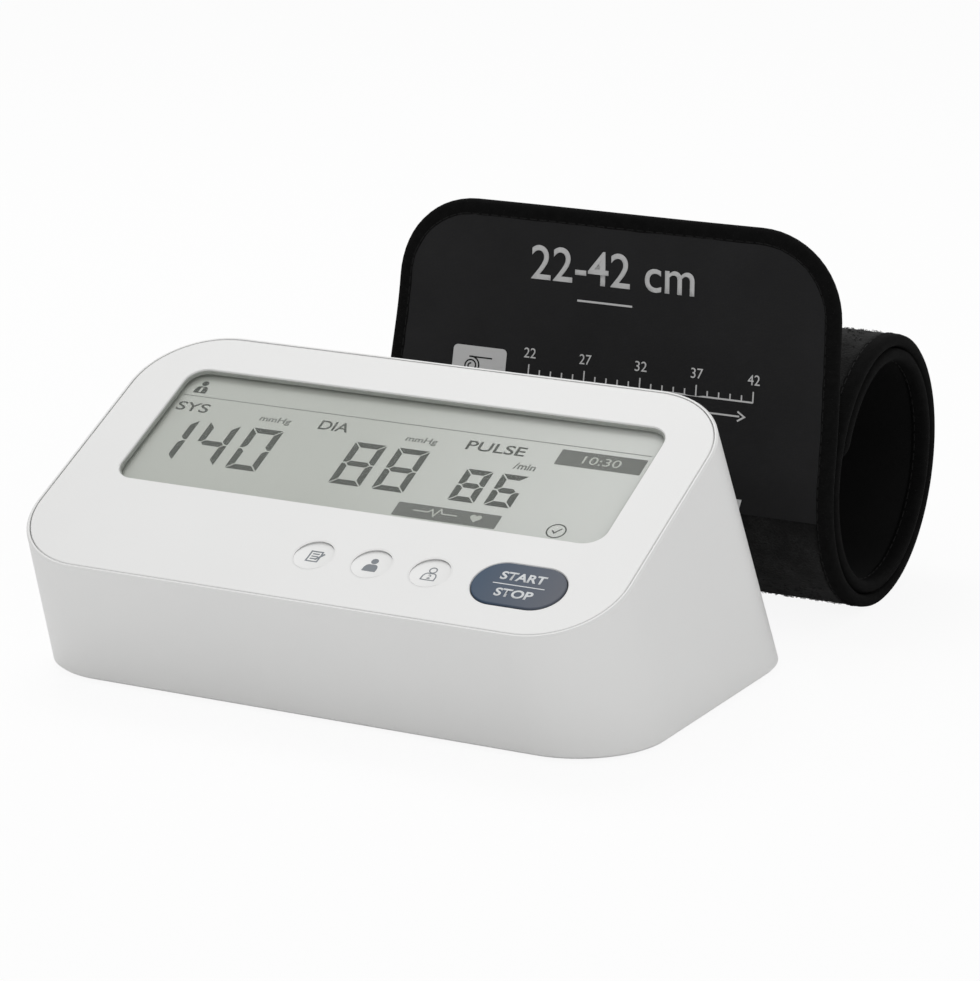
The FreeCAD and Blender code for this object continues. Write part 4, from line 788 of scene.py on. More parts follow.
# Readings in millimetres over the face: left and bottom of each figure, and left, right, bottom, top of boxes
PRESSURE_FIGURES = [("1", -73.9, -1.2), ("4", -60.2, -1.2), ("0", -46.2, -1.2), ("8", -12.6, -1.3),
                    ("8", 1.1, -1.3)]
PULSE_FIGURES = [("8", 25.0, -1.4), ("6", 36.1, -1.4)]
LABELS = [("SYS", (-74.5, -64.0, 20.3, 24.2)), ("DIA", (-27.0, -17.5, 20.1, 24.0)),
          ("PULSE", (20.3, 38.5, 20.0, 23.9))]
UNITS = [("mmHg", (-46.3, -36.2, 19.6, 22.6)), ("mmHg", (1.3, 11.2, 19.4, 22.4)),
         ("/min", (37.7, 44.3, 14.7, 17.5))]
RULE_LINE = (-74.9, 74.7, 26.95, 27.25)
BARS = [(48.5, 74.5, 18.8, 25.3), (11.9, 43.7, -10.4, -4.8)]
BAR_CORNER = 0.3
CLOCK_BOX = (56.2, 67.6, 20.5, 23.7)
PULSE_TRACE = [(17.5, -7.4), (22.0, -7.4), (23.0, -6.2), (24.2, -8.8), (25.4, -5.6), (26.4, -7.4),
               (31.0, -7.4)]
HEART_CENTRE = (36.6, -7.2)
HEART_SIZE = 1.75
CHECK_CENTRE = (61.3, -7.6)
CHECK_RADIUS = 2.7
CHECK_STEPS = 40
CHECK_TICK = [(60.1, -7.5), (61.0, -8.5), (62.6, -6.4)]
PERSON_CENTRE = (-70.8, 31.2)
PERSON_HEIGHT = 5.4
PERSON_MARK_BOX = (-71.15, -70.45, 28.9, 31.0)

# Weight that is added to letters, as a share of their size
LABEL_WEIGHT = 0.012
UNIT_WEIGHT = 0.02
WORD_WEIGHT = 0.028
RANGE_WEIGHT = 0.006

# Roughness of the inks
DISPLAY_INK = 0.5
LETTER_INK = 0.5
BUTTON_INK = 0.55
SHADE_LINING_INK = 0.6
FLAP_INK = 0.7

# Heart curve: height and number of each of its waves, over its half width
HEART_WAVES = [(13, 1), (-5, 2), (-2, 3), (-1, 4)]
HEART_HALF = 16
HEART_STEPS = 32

# Head and right half of the shoulders, as shares of a person's height
HEAD_RISE_SHARE = 0.31
HEAD_RADIUS_SHARE = 0.2
HEAD_STEPS = 20
SHOULDER_SHARES = [(0.38, -0.5), (0.38, -0.2), (0.31, -0.02), (0.2, 0.06)]


def heart_points(centre, size):
    """Outline of a heart, counter-clockwise."""
    x, y = centre
    points = []
    for step in range(HEART_STEPS):
        spin = 2 * math.pi * step / HEART_STEPS
        up = sum(height * math.cos(number * spin) for height, number in HEART_WAVES)
        points.append((x - size * math.sin(spin) ** 3, y + size * up / HEART_HALF))
    return points


def person_shapes(centre, size):
    """Outlines of a head and shoulders that fill a height."""
    x, y = centre
    head = ring_points((x, y + size * HEAD_RISE_SHARE), size * HEAD_RADIUS_SHARE, HEAD_STEPS)
    left = [(-out, up) for out, up in SHOULDER_SHARES]
    shares = left[:1] + SHOULDER_SHARES + left[:0:-1]
    return head, [(x + size * out, y + size * up) for out, up in shares]


def display_figures(sizes):
    """Lit segments of all figures."""
    large = (sizes.digit_width, sizes.digit_height)
    small = (sizes.pulse_width, sizes.pulse_height)
    figures = [digit(*figure, large, sizes) for figure in PRESSURE_FIGURES]
    figures += [digit(*figure, small, sizes) for figure in PULSE_FIGURES]
    return sum(figures, [])


def display_signs(sizes):
    """Tick in a ring, and a person."""
    ring = ring_points(CHECK_CENTRE, CHECK_RADIUS, CHECK_STEPS)
    lines = [flat_line(ring, sizes.line, True), flat_line(CHECK_TICK, sizes.line)]
    return lines + [flat_shape(outline) for outline in person_shapes(PERSON_CENTRE, PERSON_HEIGHT)]


def display_gaps(sizes):
    """Clock, heartbeat, heart and figure that show pale on the dark shapes."""
    words = [lettering("10:30", CLOCK_BOX), lettering("1", PERSON_MARK_BOX)]
    return words + [flat_line(PULSE_TRACE, sizes.line), flat_shape(heart_points(HEART_CENTRE, HEART_SIZE))]


def display_words(rows, weight):
    """Words of the display, each in its box."""
    return [lettering(words, box, weight) for words, box in rows]


def make_readings(sizes, finish):
    """Segment readings, labels, bars and small signs of the display."""
    dark = screen_ink("display_segment_dark", finish.segments, DISPLAY_INK)
    label = screen_ink("display_segment_label", finish.labels, DISPLAY_INK)
    hair = screen_ink("display_segment_pale_grey", finish.hairline, DISPLAY_INK)
    grey = screen_ink("display_segment_grey", finish.shade, DISPLAY_INK)
    pale = screen_ink("display_segment_pale", finish.pale, DISPLAY_INK)
    groups = [
        ("display_digits", display_figures(sizes), 0, dark),
        ("display_signs", display_signs(sizes), 0, dark),
        ("display_labels", display_words(LABELS, LABEL_WEIGHT), 0, label),
        ("display_units", display_words(UNITS, UNIT_WEIGHT) + [flat_shape(box_points(*RULE_LINE))], 0, hair),
        ("display_bars", [flat_shape(rounded_box(*bar, BAR_CORNER)) for bar in BARS], 0, grey),
        ("display_gaps", display_gaps(sizes), 1, pale),
    ]
    ground = face_height("lcd_panel")
    for name, shapes, layer, ink in groups:
        print_on_face(name, shapes, sizes.film, ground + layer * sizes.film, "monitor", ink)


# Window lining, a grey sheet of painted shade in the display's recess, and button seals in millimetres over the
# face
WINDOW_BOX = (-76.15, 77.15, -13.35, 36.55)
WINDOW_CORNER = 6.0
SHADE_LINING_WIDTH = 0.3
SHADE_LINING_TOP = -0.5
SHADE_LINING_BOTTOM = -1.6
BUTTON_MIDDLES = [(0.0, -33.2), (17.9, -33.2), (35.8, -33.2)]
SEAL_RADII = (5.79, 6.2)
SEAL_STEPS = 72
SEAL_DEPTH = -0.03
SEAL_THICK = 0.22
SEAL_GRAIN = (0.5, 0.4, 0.02)


def make_window_painted_shade(finish):
    """Grey lining on the cut edge of the display's window: a sheet of painted shade where the recess's wall
    lies in shadow.
    """
    left, right, bottom, top = WINDOW_BOX
    half = SHADE_LINING_WIDTH / 2
    outline = rounded_box(left + half, right - half, bottom + half, top - half, WINDOW_CORNER - half)
    piece = flat_line(outline, SHADE_LINING_WIDTH * MM, True)
    piece.name = "window_lining"
    thicken(piece, (SHADE_LINING_TOP - SHADE_LINING_BOTTOM) * MM, 1)
    set_on_face(piece, SHADE_LINING_BOTTOM * MM)
    dress(piece, "monitor", screen_ink("window_lining_grey", finish.lining, SHADE_LINING_INK))


def make_button_seals(finish):
    """Thin white seals in the gaps round the round buttons."""
    inner, outer = SEAL_RADII
    rings = [ring_points(centre, (inner + outer) / 2, SEAL_STEPS) for centre in BUTTON_MIDDLES]
    piece = join("button_seals", [flat_line(ring, (outer - inner) * MM, True) for ring in rings])
    thicken(piece, SEAL_THICK * MM, -1)
    set_on_face(piece, SEAL_DEPTH * MM)
    smooth_faces(piece)
    white = moulded_plastic("seal_elastomer_white", finish.housing, *SEAL_GRAIN)
    dress(piece, "monitor", white)


# Prints on the buttons in millimetres over the face
PAGE_BOX = (-1.7, 1.7, -35.2, -31.0)
PAGE_ROWS = [-34.0, -33.0, -32.0]
PAGE_ROW_ENDS = (-1.0, 1.0)
PEN_LINE = [(0.6, -34.3), (2.6, -31.7)]
PEN_WIDTH_SHARE = 1.6
USER_CENTRE = (17.95, -33.1)
GUEST_CENTRE = (35.85, -33.1)
GUEST_HEIGHT = 5.2
GUEST_LINE_SHARE = 0.8
GUEST_FIGURE_BOX = (35.3, 36.4, -35.1, -33.3)
START_BOX = (55.9, 69.2, -31.8, -28.6)
STOP_BOX = (57.0, 68.1, -38.3, -35.1)
DIVIDER = (54.9, 70.2, -33.6, -33.3)


def memory_sign(sizes):
    """Notepad with lines and a pen."""
    left, right = PAGE_ROW_ENDS
    page = flat_line(box_points(*PAGE_BOX), sizes.line, True)
    pen = flat_line(PEN_LINE, sizes.line * PEN_WIDTH_SHARE)
    rows = [flat_line([(left, row), (right, row)], sizes.line) for row in PAGE_ROWS]
    return join("memory_sign", [page, pen] + rows)


def user_sign():
    """Solid head and shoulders."""
    outlines = person_shapes(USER_CENTRE, PERSON_HEIGHT)
    return join("user_sign", [flat_shape(outline) for outline in outlines])


def guest_sign(sizes):
    """Outlined head and shoulders with a figure two."""
    outlines = person_shapes(GUEST_CENTRE, GUEST_HEIGHT)
    shapes = [flat_line(outline, sizes.line * GUEST_LINE_SHARE, True) for outline in outlines]
    return join("guest_sign", shapes + [lettering("2", GUEST_FIGURE_BOX)])


def make_button_prints(sizes, finish):
    """Signs on the round buttons and words on the start button."""
    grey = screen_ink("button_print_grey", finish.icons, BUTTON_INK)
    white = screen_ink("button_print_white", finish.letters, LETTER_INK)
    signs = {"memory": memory_sign(sizes), "user": user_sign(), "guest": guest_sign(sizes)}
    for key, sign in signs.items():
        press_onto(sign, key + "_button", sizes.ink)
        dress(sign, key + "_key", grey)
    words = [lettering("START", START_BOX, WORD_WEIGHT), lettering("STOP", STOP_BOX, WORD_WEIGHT)]
    words.append(flat_shape(box_points(*DIVIDER)))
    top = face_height("start_stop_button")
    print_on_face("start_stop_words", words, sizes.ink, top, "start_stop_key", white)


# Strip of the cuff, by lengths from the flap's top
CUFF_LOW, CUFF_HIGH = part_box("cuff_binding")
CUFF_HALF = (CUFF_HIGH.x - CUFF_LOW.x) / 2
BILLOW_WIDTH = 55 * MM
BILLOW_LENGTH = 40 * MM
BILLOW_SLICE = 0.3
BILLOW_FADE = 2


def heading_vector(heading):
    """Unit vector across the roll's axis for a heading from +Y."""
    return Vector((0, math.cos(heading), math.sin(heading)))


def strip_runs(cuff):
    """Runs of the strip: length before it, its length, place, heading, turn and bend radius."""
    centre = Vector(((CUFF_LOW.x + CUFF_HIGH.x) / 2, CUFF_HIGH.y - cuff.roll_radius, cuff.roll_radius))
    outer = cuff.roll_radius - cuff.tape_thick / 2
    step = (cuff.tape_thick + cuff.lap_gap) / 2
    arcs = [(-cuff.flap_turn, cuff.flap_arc / cuff.flap_turn), (0, cuff.flap_straight)]
    arcs += [(math.pi + cuff.flap_lean, outer), (math.pi, outer - step), (math.pi, outer - 2 * step)]
    arcs += [(cuff.inner_turn, outer - 3 * step)]
    heading = -QUARTER - cuff.flap_lean
    place = centre - heading_vector(heading + QUARTER) * outer - heading_vector(heading) * cuff.flap_straight
    bend = place - heading_vector(heading + QUARTER) * arcs[0][1]
    heading += cuff.flap_turn
    place = bend + heading_vector(heading + QUARTER) * arcs[0][1]
    runs = []
    travelled = 0
    for turn, size in arcs:
        run = abs(turn) * size if turn else size
        runs.append((travelled, run, place, heading, turn, size))
        travelled += run
        place = run_point(runs[-1], run, 0)
        heading += turn
    return runs


def run_point(run, distance, outward):
    """Point of one run at a distance along it and outwards from the strip's middle."""
    stretch, place, heading, turn, size = run[1:]
    left = heading_vector(heading + QUARTER)
    if not turn:
        return place + heading_vector(heading) * distance - left * outward
    side = math.copysign(1, turn)
    spin = heading + turn * distance / stretch - side * QUARTER
    return place + left * side * size + heading_vector(spin) * (size + side * outward)


def strip_length(cuff):
    """Whole length of the strip."""
    travelled, stretch = strip_runs(cuff)[-1][:2]
    return travelled + stretch


def flap_billow(cuff, across, along):
    """Slow waves of the free flap, which die out where the roll holds the strip."""
    free = max(0.0, 1 - along / (cuff.flap_arc + cuff.flap_straight))
    wave = noise.noise(Vector((across / BILLOW_WIDTH, along / BILLOW_LENGTH, BILLOW_SLICE)))
    return cuff.billow * wave * min(1.0, BILLOW_FADE * free)


def flap_flare(cuff, across, along):
    """Sideways shift of the flap's edges, which draw in towards its top."""
    share = (along - cuff.flare_start) / (cuff.flare_end - cuff.flare_start)
    share = min(1.0, max(0.0, share))
    eased = share * share * (3 - 2 * share)
    left = 0.5 - across / (2 * CUFF_HALF)
    right = 1 - left
    return -cuff.flare * eased * left * left - cuff.pinch * (1 - eased) * right * right


def wrap(piece, cuff, lift, unevenness=None):
    """Lays a flat piece, across and up the flap, round the rolled strip."""
    runs = strip_runs(cuff)
    for vertex in piece.data.vertices:
        across, along, rise = vertex.co.x, -vertex.co.y, vertex.co.z
        run = next((each for each in runs if along <= each[0] + each[1]), runs[-1])
        outward = lift + rise + flap_billow(cuff, across, along)
        if unevenness:
            outward += unevenness(across, along)
        place = run_point(run, along - run[0], outward)
        # Where the roll rests on the table its cloth is pressed flat
        vertex.co = (place.x + across + flap_flare(cuff, across, along), place.y, max(0.0, place.z))


# Share of a cloth's columns in each round corner, and corner radii over which its rows become straight
CORNER_SHARE = 0.16
CORNER_FADE = 3


def corner_spread(share, half, corner):
    """Place across the strip for a share of its columns, and how far the round corner sets its start back."""
    if not corner:
        return (2 * share - 1) * half, 0.0
    near = min(share, 1 - share)
    if near >= CORNER_SHARE:
        return (2 * share - 1) / (1 - 2 * CORNER_SHARE) * (half - corner), 0.0
    spin = QUARTER * near / CORNER_SHARE
    across = half - corner * (1 - math.cos(spin))
    return math.copysign(across, share - 0.5), corner * (1 - math.sin(spin))


def chart(piece, spots):
    """Gives each corner of a piece's faces the UV place of its point."""
    flat = piece.data.uv_layers[0].data
    for loop in piece.data.loops:
        flat[loop.index].uv = spots[loop.vertex_index]


def flat_cloth(name, half, begin, end, corner, columns, rows):
    """Flat grid of cloth, across and up the flap, with its UV map in metres."""
    deselect()
    bpy.ops.mesh.primitive_grid_add(x_subdivisions=columns, y_subdivisions=rows, size=1)
    piece = bpy.context.object
    piece.name = name
    for vertex in piece.data.vertices:
        across, setback = corner_spread(vertex.co.x + 0.5, half, corner)
        down = (0.5 - vertex.co.y) * (end - begin)
        fade = max(0.0, 1 - down / (CORNER_FADE * corner)) if corner else 0.0
        vertex.co = (across, -(begin + down + setback * fade), 0)
    chart(piece, [vertex.co.xy for vertex in piece.data.vertices])
    return piece


# Cloths of the cuff: shares of the tape's width that cover their edges, and the sewn gap under them
STRIP_COVER_SHARE = 0.6
CLOTH_COVER_SHARE = 0.85
SEWN_GAP = 0.02 * MM
HOOK_CORNER = 5 * MM

# Waves of the pile: size, slice of the noise and share of the rise
PILE_WAVES = [(3.1 * MM, 0.1, 0.35), (1.1 * MM, 0.7, 0.65)]
PILE_SINK_SHARE = 0.3


def make_strip(cuff, finish):
    """Padded strip that carries the cloths, from the flap's top to the inner end."""
    inset = cuff.tape_width * STRIP_COVER_SHARE
    piece = flat_cloth("cuff_strip", CUFF_HALF - inset, inset, strip_length(cuff) - inset,
                       cuff.flap_corner - inset, columns=56, rows=210)
    wrap(piece, cuff, 0)
    thicken(piece, cuff.body_thick, 0)
    smooth_faces(piece)
    lining = woven_cloth("nylon_lining_black", finish.inside, *LINING_WEAVE)
    dress(piece, "cuff", lining, ["cuff_cover", "cuff_bladder", "cuff_curler"])


def make_smooth_panel(cuff, finish):
    """Smooth nylon panel on the outside of the flap."""
    inset = cuff.tape_width * CLOTH_COVER_SHARE
    half = CUFF_HALF - inset
    piece = flat_cloth("cuff_smooth_panel", half, inset, cuff.panel_end, cuff.flap_corner - inset,
                       columns=80, rows=60)
    wrap(piece, cuff, cuff.body_thick / 2 + SEWN_GAP)
    thicken(piece, cuff.cloth_thick, 1)
    smooth_faces(piece)
    cloth = woven_cloth("nylon_taffeta_black", finish.nylon, *TAFFETA_WEAVE)
    dress(piece, "cuff", cloth, ["cuff_face_panel"])


def make_pile(cuff, finish):
    """Loop pile on the outside of the roll, uneven in height."""
    def unevenness(across, along):
        waves = [share * noise.noise(Vector((across, along, level)) / size)
                 for size, level, share in PILE_WAVES]
        return cuff.pile_rise * sum(waves)

    half = CUFF_HALF - cuff.tape_width * CLOTH_COVER_SHARE
    ground = cuff.body_thick / 2 + SEWN_GAP
    piece = flat_cloth("cuff_loop_pile", half, cuff.panel_end, cuff.pile_end, 0, columns=124, rows=196)
    wrap(piece, cuff, ground + cuff.cloth_thick - cuff.pile_rise * PILE_SINK_SHARE, unevenness)
    thicken(piece, cuff.cloth_thick, -1)
    smooth(piece)
    cloth = brushed_pile("nylon_loop_pile_black", finish.pile)
    dress(piece, "cuff", cloth, ["cuff_loop_cloth"])


def make_hook_patch(cuff, finish):
    """Ground cloth of the hook tape inside the flap."""
    half = CUFF_HALF - cuff.hook_side
    end = cuff.hook_start + cuff.hook_length
    piece = flat_cloth("cuff_hook_patch_cloth", half, cuff.hook_start, end, HOOK_CORNER, columns=60, rows=24)
    wrap(piece, cuff, -cuff.body_thick / 2 - SEWN_GAP)
    thicken(piece, cuff.cloth_thick, -1)
    smooth_faces(piece)
    cloth = woven_cloth("nylon_hook_tape_black", finish.tape, *HOOK_WEAVE)
    dress(piece, "cuff", cloth, ["cuff_hook_patch"])


# Loose loops and hooks
LOOP_RADIUS = 0.36 * MM
LOOP_THREAD = 0.08 * MM
LOOP_SEGMENTS = 6
LOOP_COUNT = 6000
LOOP_SEED = 5
LOOP_EDGE = 7 * MM
LOOP_END = 16 * MM
LOOP_TILT = math.radians(40)
LOOP_SIZE_SHARES = (0.6, 1.3)
HOOK_RADIUS = 0.42 * MM
HOOK_THREAD = 0.1 * MM
HOOK_SEGMENTS = 8
HOOK_PITCH = 1.5 * MM
HOOK_EDGE = 3 * MM
THREAD_SIDES = 3
THREAD_TONE_SHARE = 2.0


def thread_ring(radius, thread, segments, cuts):
    """Upright ring of thread, cut open by planes, each with a place and the side that stays."""
    deselect()
    bpy.ops.mesh.primitive_torus_add(major_radius=radius, minor_radius=thread, major_segments=segments,
                                     minor_segments=THREAD_SIDES, rotation=(QUARTER, 0, 0))
    piece = bpy.context.object
    bpy.ops.object.transform_apply(rotation=True)
    for place, side in cuts:
        edit(piece, bpy.ops.mesh.bisect, plane_co=place, plane_no=side, clear_inner=True, use_fill=True)
    return piece


def loop_model():
    """One loose loop of the pile, cut off where it enters the ground."""
    cuts = [((0, 0, -LOOP_RADIUS / 3), (0, 0, 1))]
    return thread_ring(LOOP_RADIUS, LOOP_THREAD, LOOP_SEGMENTS, cuts)


def hook_model():
    """One hook of the hook tape: an upright thread bent over, its tip cut free."""
    cuts = [((0, 0, -HOOK_RADIUS / 2), (0, 0, 1)), ((HOOK_RADIUS / 2, 0, 0), (-1, 0, 1))]
    return thread_ring(HOOK_RADIUS, HOOK_THREAD, HOOK_SEGMENTS, cuts)


def make_loose_loops(cuff, finish):
    """Loose loops that stand out of the pile."""
    chance = random.Random(LOOP_SEED)
    half = CUFF_HALF - LOOP_EDGE
    places = []
    for _ in range(LOOP_COUNT):
        across = chance.uniform(-half, half)
        along = chance.uniform(cuff.panel_end + LOOP_THREAD, cuff.pile_end - LOOP_END)
        turn = Matrix.Rotation(chance.uniform(0, 2 * math.pi), 4, "Z")
        tilt = Matrix.Rotation(chance.uniform(-LOOP_TILT, LOOP_TILT), 4, "X")
        size = Matrix.Scale(chance.uniform(*LOOP_SIZE_SHARES), 4)
        places.append(Matrix.Translation((across, -along, 0)) @ turn @ tilt @ size)
    piece = repeat("cuff_loose_loops", loop_model(), places)
    wrap(piece, cuff, cuff.body_thick / 2 + cuff.cloth_thick)
    smooth(piece)
    thread = filament("nylon_loop_filament_black", shaded(finish.pile, THREAD_TONE_SHARE))
    dress(piece, "cuff", thread)


def make_hooks(cuff, finish):
    """Rows of hooks on the hook tape, alternate rows bent the other way."""
    half = CUFF_HALF - cuff.hook_side - HOOK_EDGE
    columns = int(2 * half / HOOK_PITCH)
    rows = int((cuff.hook_length - 2 * HOOK_EDGE) / HOOK_PITCH)
    over = Matrix.Rotation(math.pi, 4, "X")
    places = []
    for row in range(rows):
        turn = Matrix.Rotation(math.pi * (row % 2), 4, "Z")
        along = cuff.hook_start + HOOK_EDGE + row * HOOK_PITCH
        for column in range(columns):
            across = (column + 0.5) * HOOK_PITCH - half
            places.append(Matrix.Translation((across, -along, 0)) @ turn @ over)
    piece = repeat("cuff_hooks", hook_model(), places)
    wrap(piece, cuff, -cuff.body_thick / 2 - cuff.cloth_thick)
    smooth(piece)
    thread = filament("nylon_hook_filament_black", shaded(finish.pile, THREAD_TONE_SHARE))
    dress(piece, "cuff", thread)


# Edge tape: its half section as shares of its width inwards and of half its thickness outwards
TAPE_SECTION_SHARES = [(1.0, 0.7), (0.93, 0.9), (0.72, 1.0), (0.36, 1.0), (0.14, 0.86), (0.03, 0.5)]
TAPE_TOP = 0.3 * MM
TAPE_STEP = 3 * MM
CORNER_STEPS = 14
INNER_CORNER = 6 * MM
PUCKER_SHARE = 0.02
PUCKER_SIZES = (4 * MM, 3 * MM, 2 * MM)


def tape_line(cuff):
    """Closed line round the strip's flat outline: each point, across and along, with its inward direction."""
    bottom = strip_length(cuff)
    corner = cuff.flap_corner
    corners = [(CUFF_HALF - corner, TAPE_TOP + corner, corner),
               (CUFF_HALF - INNER_CORNER, bottom - INNER_CORNER, INNER_CORNER),
               (INNER_CORNER - CUFF_HALF, bottom - INNER_CORNER, INNER_CORNER),
               (corner - CUFF_HALF, TAPE_TOP + corner, corner)]
    knots = []
    for number, (across, along, radius) in enumerate(corners):
        for step in range(CORNER_STEPS + 1):
            spin = (number - 1) * QUARTER + QUARTER * step / CORNER_STEPS
            out = Vector((math.cos(spin), math.sin(spin)))
            knots.append((Vector((across, along)) + out * radius, -out))
    line = []
    for (place, inward), (following, _) in zip(knots, knots[1:] + knots[:1]):
        count = max(1, round((following - place).length / TAPE_STEP))
        line += [(place.lerp(following, part / count), inward) for part in range(count)]
    return line


def tape_section(cuff):
    """Section of the folded tape: distance inwards from the edge, and outwards from the strip's middle."""
    rise = cuff.tape_thick / 2
    outer = [(share * cuff.tape_width, lift * rise) for share, lift in TAPE_SECTION_SHARES]
    return outer + [(0, 0)] + [(depth, -lift) for depth, lift in reversed(outer)]


def closed_tube(name, rings):
    """Closed tube through rings of points, each with its UV place."""
    rings = [ring + ring[:1] for ring in rings + rings[:1]]
    deselect()
    bpy.ops.mesh.primitive_grid_add(x_subdivisions=len(rings[0]) - 1, y_subdivisions=len(rings) - 1, size=1)
    piece = bpy.context.object
    piece.name = name
    spots = [spot for ring in rings for spot in ring]
    for vertex, (place, flat) in zip(piece.data.vertices, spots):
        vertex.co = place
    chart(piece, [flat for place, flat in spots])
    return piece


def make_tape(cuff, finish):
    """Folded tape round the strip's whole edge, slightly puckered by its seam."""
    line = tape_line(cuff)
    section = tape_section(cuff)
    rings = []
    travelled = 0
    for number, (place, inward) in enumerate(line):
        travelled += (place - line[number - 1][0]).length
        ring = []
        for depth, lift in section:
            where = [part / size for part, size in zip((travelled, depth, lift), PUCKER_SIZES)]
            pucker = 1 + PUCKER_SHARE * noise.noise(Vector(where))
            spot = place + inward * depth * pucker
            ring.append((Vector((spot.x, -spot.y, lift * pucker)), (depth + lift, travelled)))
        rings.append(ring)
    piece = closed_tube("cuff_edge_tape", rings)
    wrap(piece, cuff, 0)
    edit(piece, bpy.ops.mesh.remove_doubles, threshold=WELD)
    edit(piece, bpy.ops.mesh.normals_make_consistent, inside=False)
    smooth(piece)
    tape = ribbed_tape("polyester_binding_tape_black", finish.tape)
    dress(piece, "cuff", tape, ["cuff_binding"])


# Stitches of the edge tape
STITCH_PITCH = 3.2 * MM
STITCH_LENGTH = 2.4 * MM
STITCH_RADIUS = 0.2 * MM
STITCH_SIDES = 8
STITCH_BEVEL_SHARE = 0.6
STITCH_RIM_ANGLE = math.radians(60)
STITCH_DEPTH_SHARE = 0.78
STITCH_SINK_SHARE = 0.3


def stitch_model():
    """One stitch: a short thread with its ends drawn in."""
    deselect()
    bpy.ops.mesh.primitive_cylinder_add(vertices=STITCH_SIDES, radius=STITCH_RADIUS, depth=STITCH_LENGTH,
                                        rotation=(QUARTER, 0, 0))
    piece = bpy.context.object
    bpy.ops.object.transform_apply(rotation=True)
    modify(piece, "BEVEL", width=STITCH_RADIUS * STITCH_BEVEL_SHARE, segments=1, limit_method="ANGLE",
           angle_limit=STITCH_RIM_ANGLE)
    return piece


def make_stitches(cuff, finish):
    """Seam that holds the edge tape, on both sides of the strip."""
    line = tape_line(cuff)
    rise = cuff.tape_thick / 2 - STITCH_RADIUS * STITCH_SINK_SHARE
    places = []
    gap = 0
    for (place, inward), (following, _) in zip(line, line[1:] + line[:1]):
        way = following - place
        turn = Matrix.Rotation(math.atan2(way.x, way.y), 4, "Z")
        start = gap
        while start < way.length:
            spot = place + way.normalized() * start + inward * cuff.tape_width * STITCH_DEPTH_SHARE
            for side in (1, -1):
                places.append(Matrix.Translation((spot.x, -spot.y, side * rise)) @ turn)
            start += STITCH_PITCH
        gap = start - way.length
    piece = repeat("cuff_edge_stitches", stitch_model(), places)
    wrap(piece, cuff, 0)
    dress(piece, "cuff", filament("polyester_thread_black", finish.tape))


# Print on the flap, across from the cuff's middle and up from the flap's top, in millimetres
RANGE_BOX = (-27.5, 26.0, -22.5, -12.0)
RANGE_LINE = [(-12.0, -27.5), (6.0, -27.5)]
RANGE_LINE_WIDTH = 0.6
INDEX_POINTS = [(42.0, -80.0), (44.2, -80.0), (43.1, -83.5)]
SIGN_BOX = (-51.0, -33.5, -60.0, -44.8)
SIGN_CORNER = 1.4
PRINT_LIFT = 0.03 * MM
PRINT_THICK = 0.05 * MM

# Ruler for the arm's girth in centimetres, and the arrow under it
RULER_ENDS = (-26.0, 46.0)
RULER_HEIGHT = -51.5
RULER_FIRST = 22
RULER_STEPS = 20
RULER_GROUP = 5
RULER_WIDTH = 0.5
TICK_WIDTH = 0.4
TICK_TALL = 3.2
TICK_SHORT = 1.8
FIGURE_HALF = 1.9
FIGURE_BOTTOM = -46.4
FIGURE_TOP = -43.4
ARROW_HEIGHT = -56.0
ARROW_INSET = 4.0
ARROW_TIP_INSET = 2.4
ARROW_HEAD_LENGTH = 2.2
ARROW_HEAD_HALF = 1.4

# Drawing of a rolled strip: middle, first radius and its growth at each step, turn, tail and line
COIL_CENTRE = (-44.75, -50.8)
COIL_STEPS = 40
COIL_RADIUS = 0.7
COIL_GROWTH = 0.055
COIL_TURN = 0.21 * QUARTER
COIL_TAIL = 7.5
COIL_LINE = 0.45


def ruler_shapes():
    """Ruler with ticks and figures, and an arrow with two heads."""
    left, right = RULER_ENDS
    shapes = [flat_line([(left, RULER_HEIGHT), (right, RULER_HEIGHT)], RULER_WIDTH * MM)]
    for number in range(RULER_STEPS + 1):
        x = left + (right - left) * number / RULER_STEPS
        major = number % RULER_GROUP == 0
        tick = [(x, RULER_HEIGHT), (x, RULER_HEIGHT + (TICK_TALL if major else TICK_SHORT))]
        shapes.append(flat_line(tick, TICK_WIDTH * MM))
        if major:
            box = (x - FIGURE_HALF, x + FIGURE_HALF, FIGURE_BOTTOM, FIGURE_TOP)
            shapes.append(lettering(str(RULER_FIRST + number), box))
    shaft = [(left + ARROW_INSET, ARROW_HEIGHT), (right - ARROW_INSET, ARROW_HEIGHT)]
    shapes.append(flat_line(shaft, RULER_WIDTH * MM))
    for tip, way in ((left + ARROW_TIP_INSET, 1), (right - ARROW_TIP_INSET, -1)):
        back = tip + ARROW_HEAD_LENGTH * way
        high, low = ARROW_HEIGHT + ARROW_HEAD_HALF, ARROW_HEIGHT - ARROW_HEAD_HALF
        shapes.append(flat_line([(back, high), (tip, ARROW_HEIGHT), (back, low)], RULER_WIDTH * MM))
    return shapes


def coil_shapes():
    """Drawing of a rolled strip with its loose end."""
    x, y = COIL_CENTRE
    coil = []
    for step in range(COIL_STEPS):
        spin = QUARTER + step * COIL_TURN
        radius = COIL_RADIUS + step * COIL_GROWTH
        coil.append((x + radius * math.cos(spin), y + radius * math.sin(spin)))
    tail = [coil[-1], (coil[-1][0] + COIL_TAIL, coil[-1][1])]
    return [flat_line(coil, COIL_LINE * MM), flat_line(tail, COIL_LINE * MM)]


def print_on_flap(name, shapes, cuff, height, ink):
    """Joins flat shapes to one print, cut so that it bends, and lays it at a height over the flap's cloth."""
    piece = join(name, shapes)
    edit(piece, bpy.ops.mesh.subdivide, number_cuts=1)
    thicken(piece, PRINT_THICK, 1)
    wrap(piece, cuff, cuff.body_thick / 2 + cuff.cloth_thick + height)
    dress(piece, "cuff", ink)


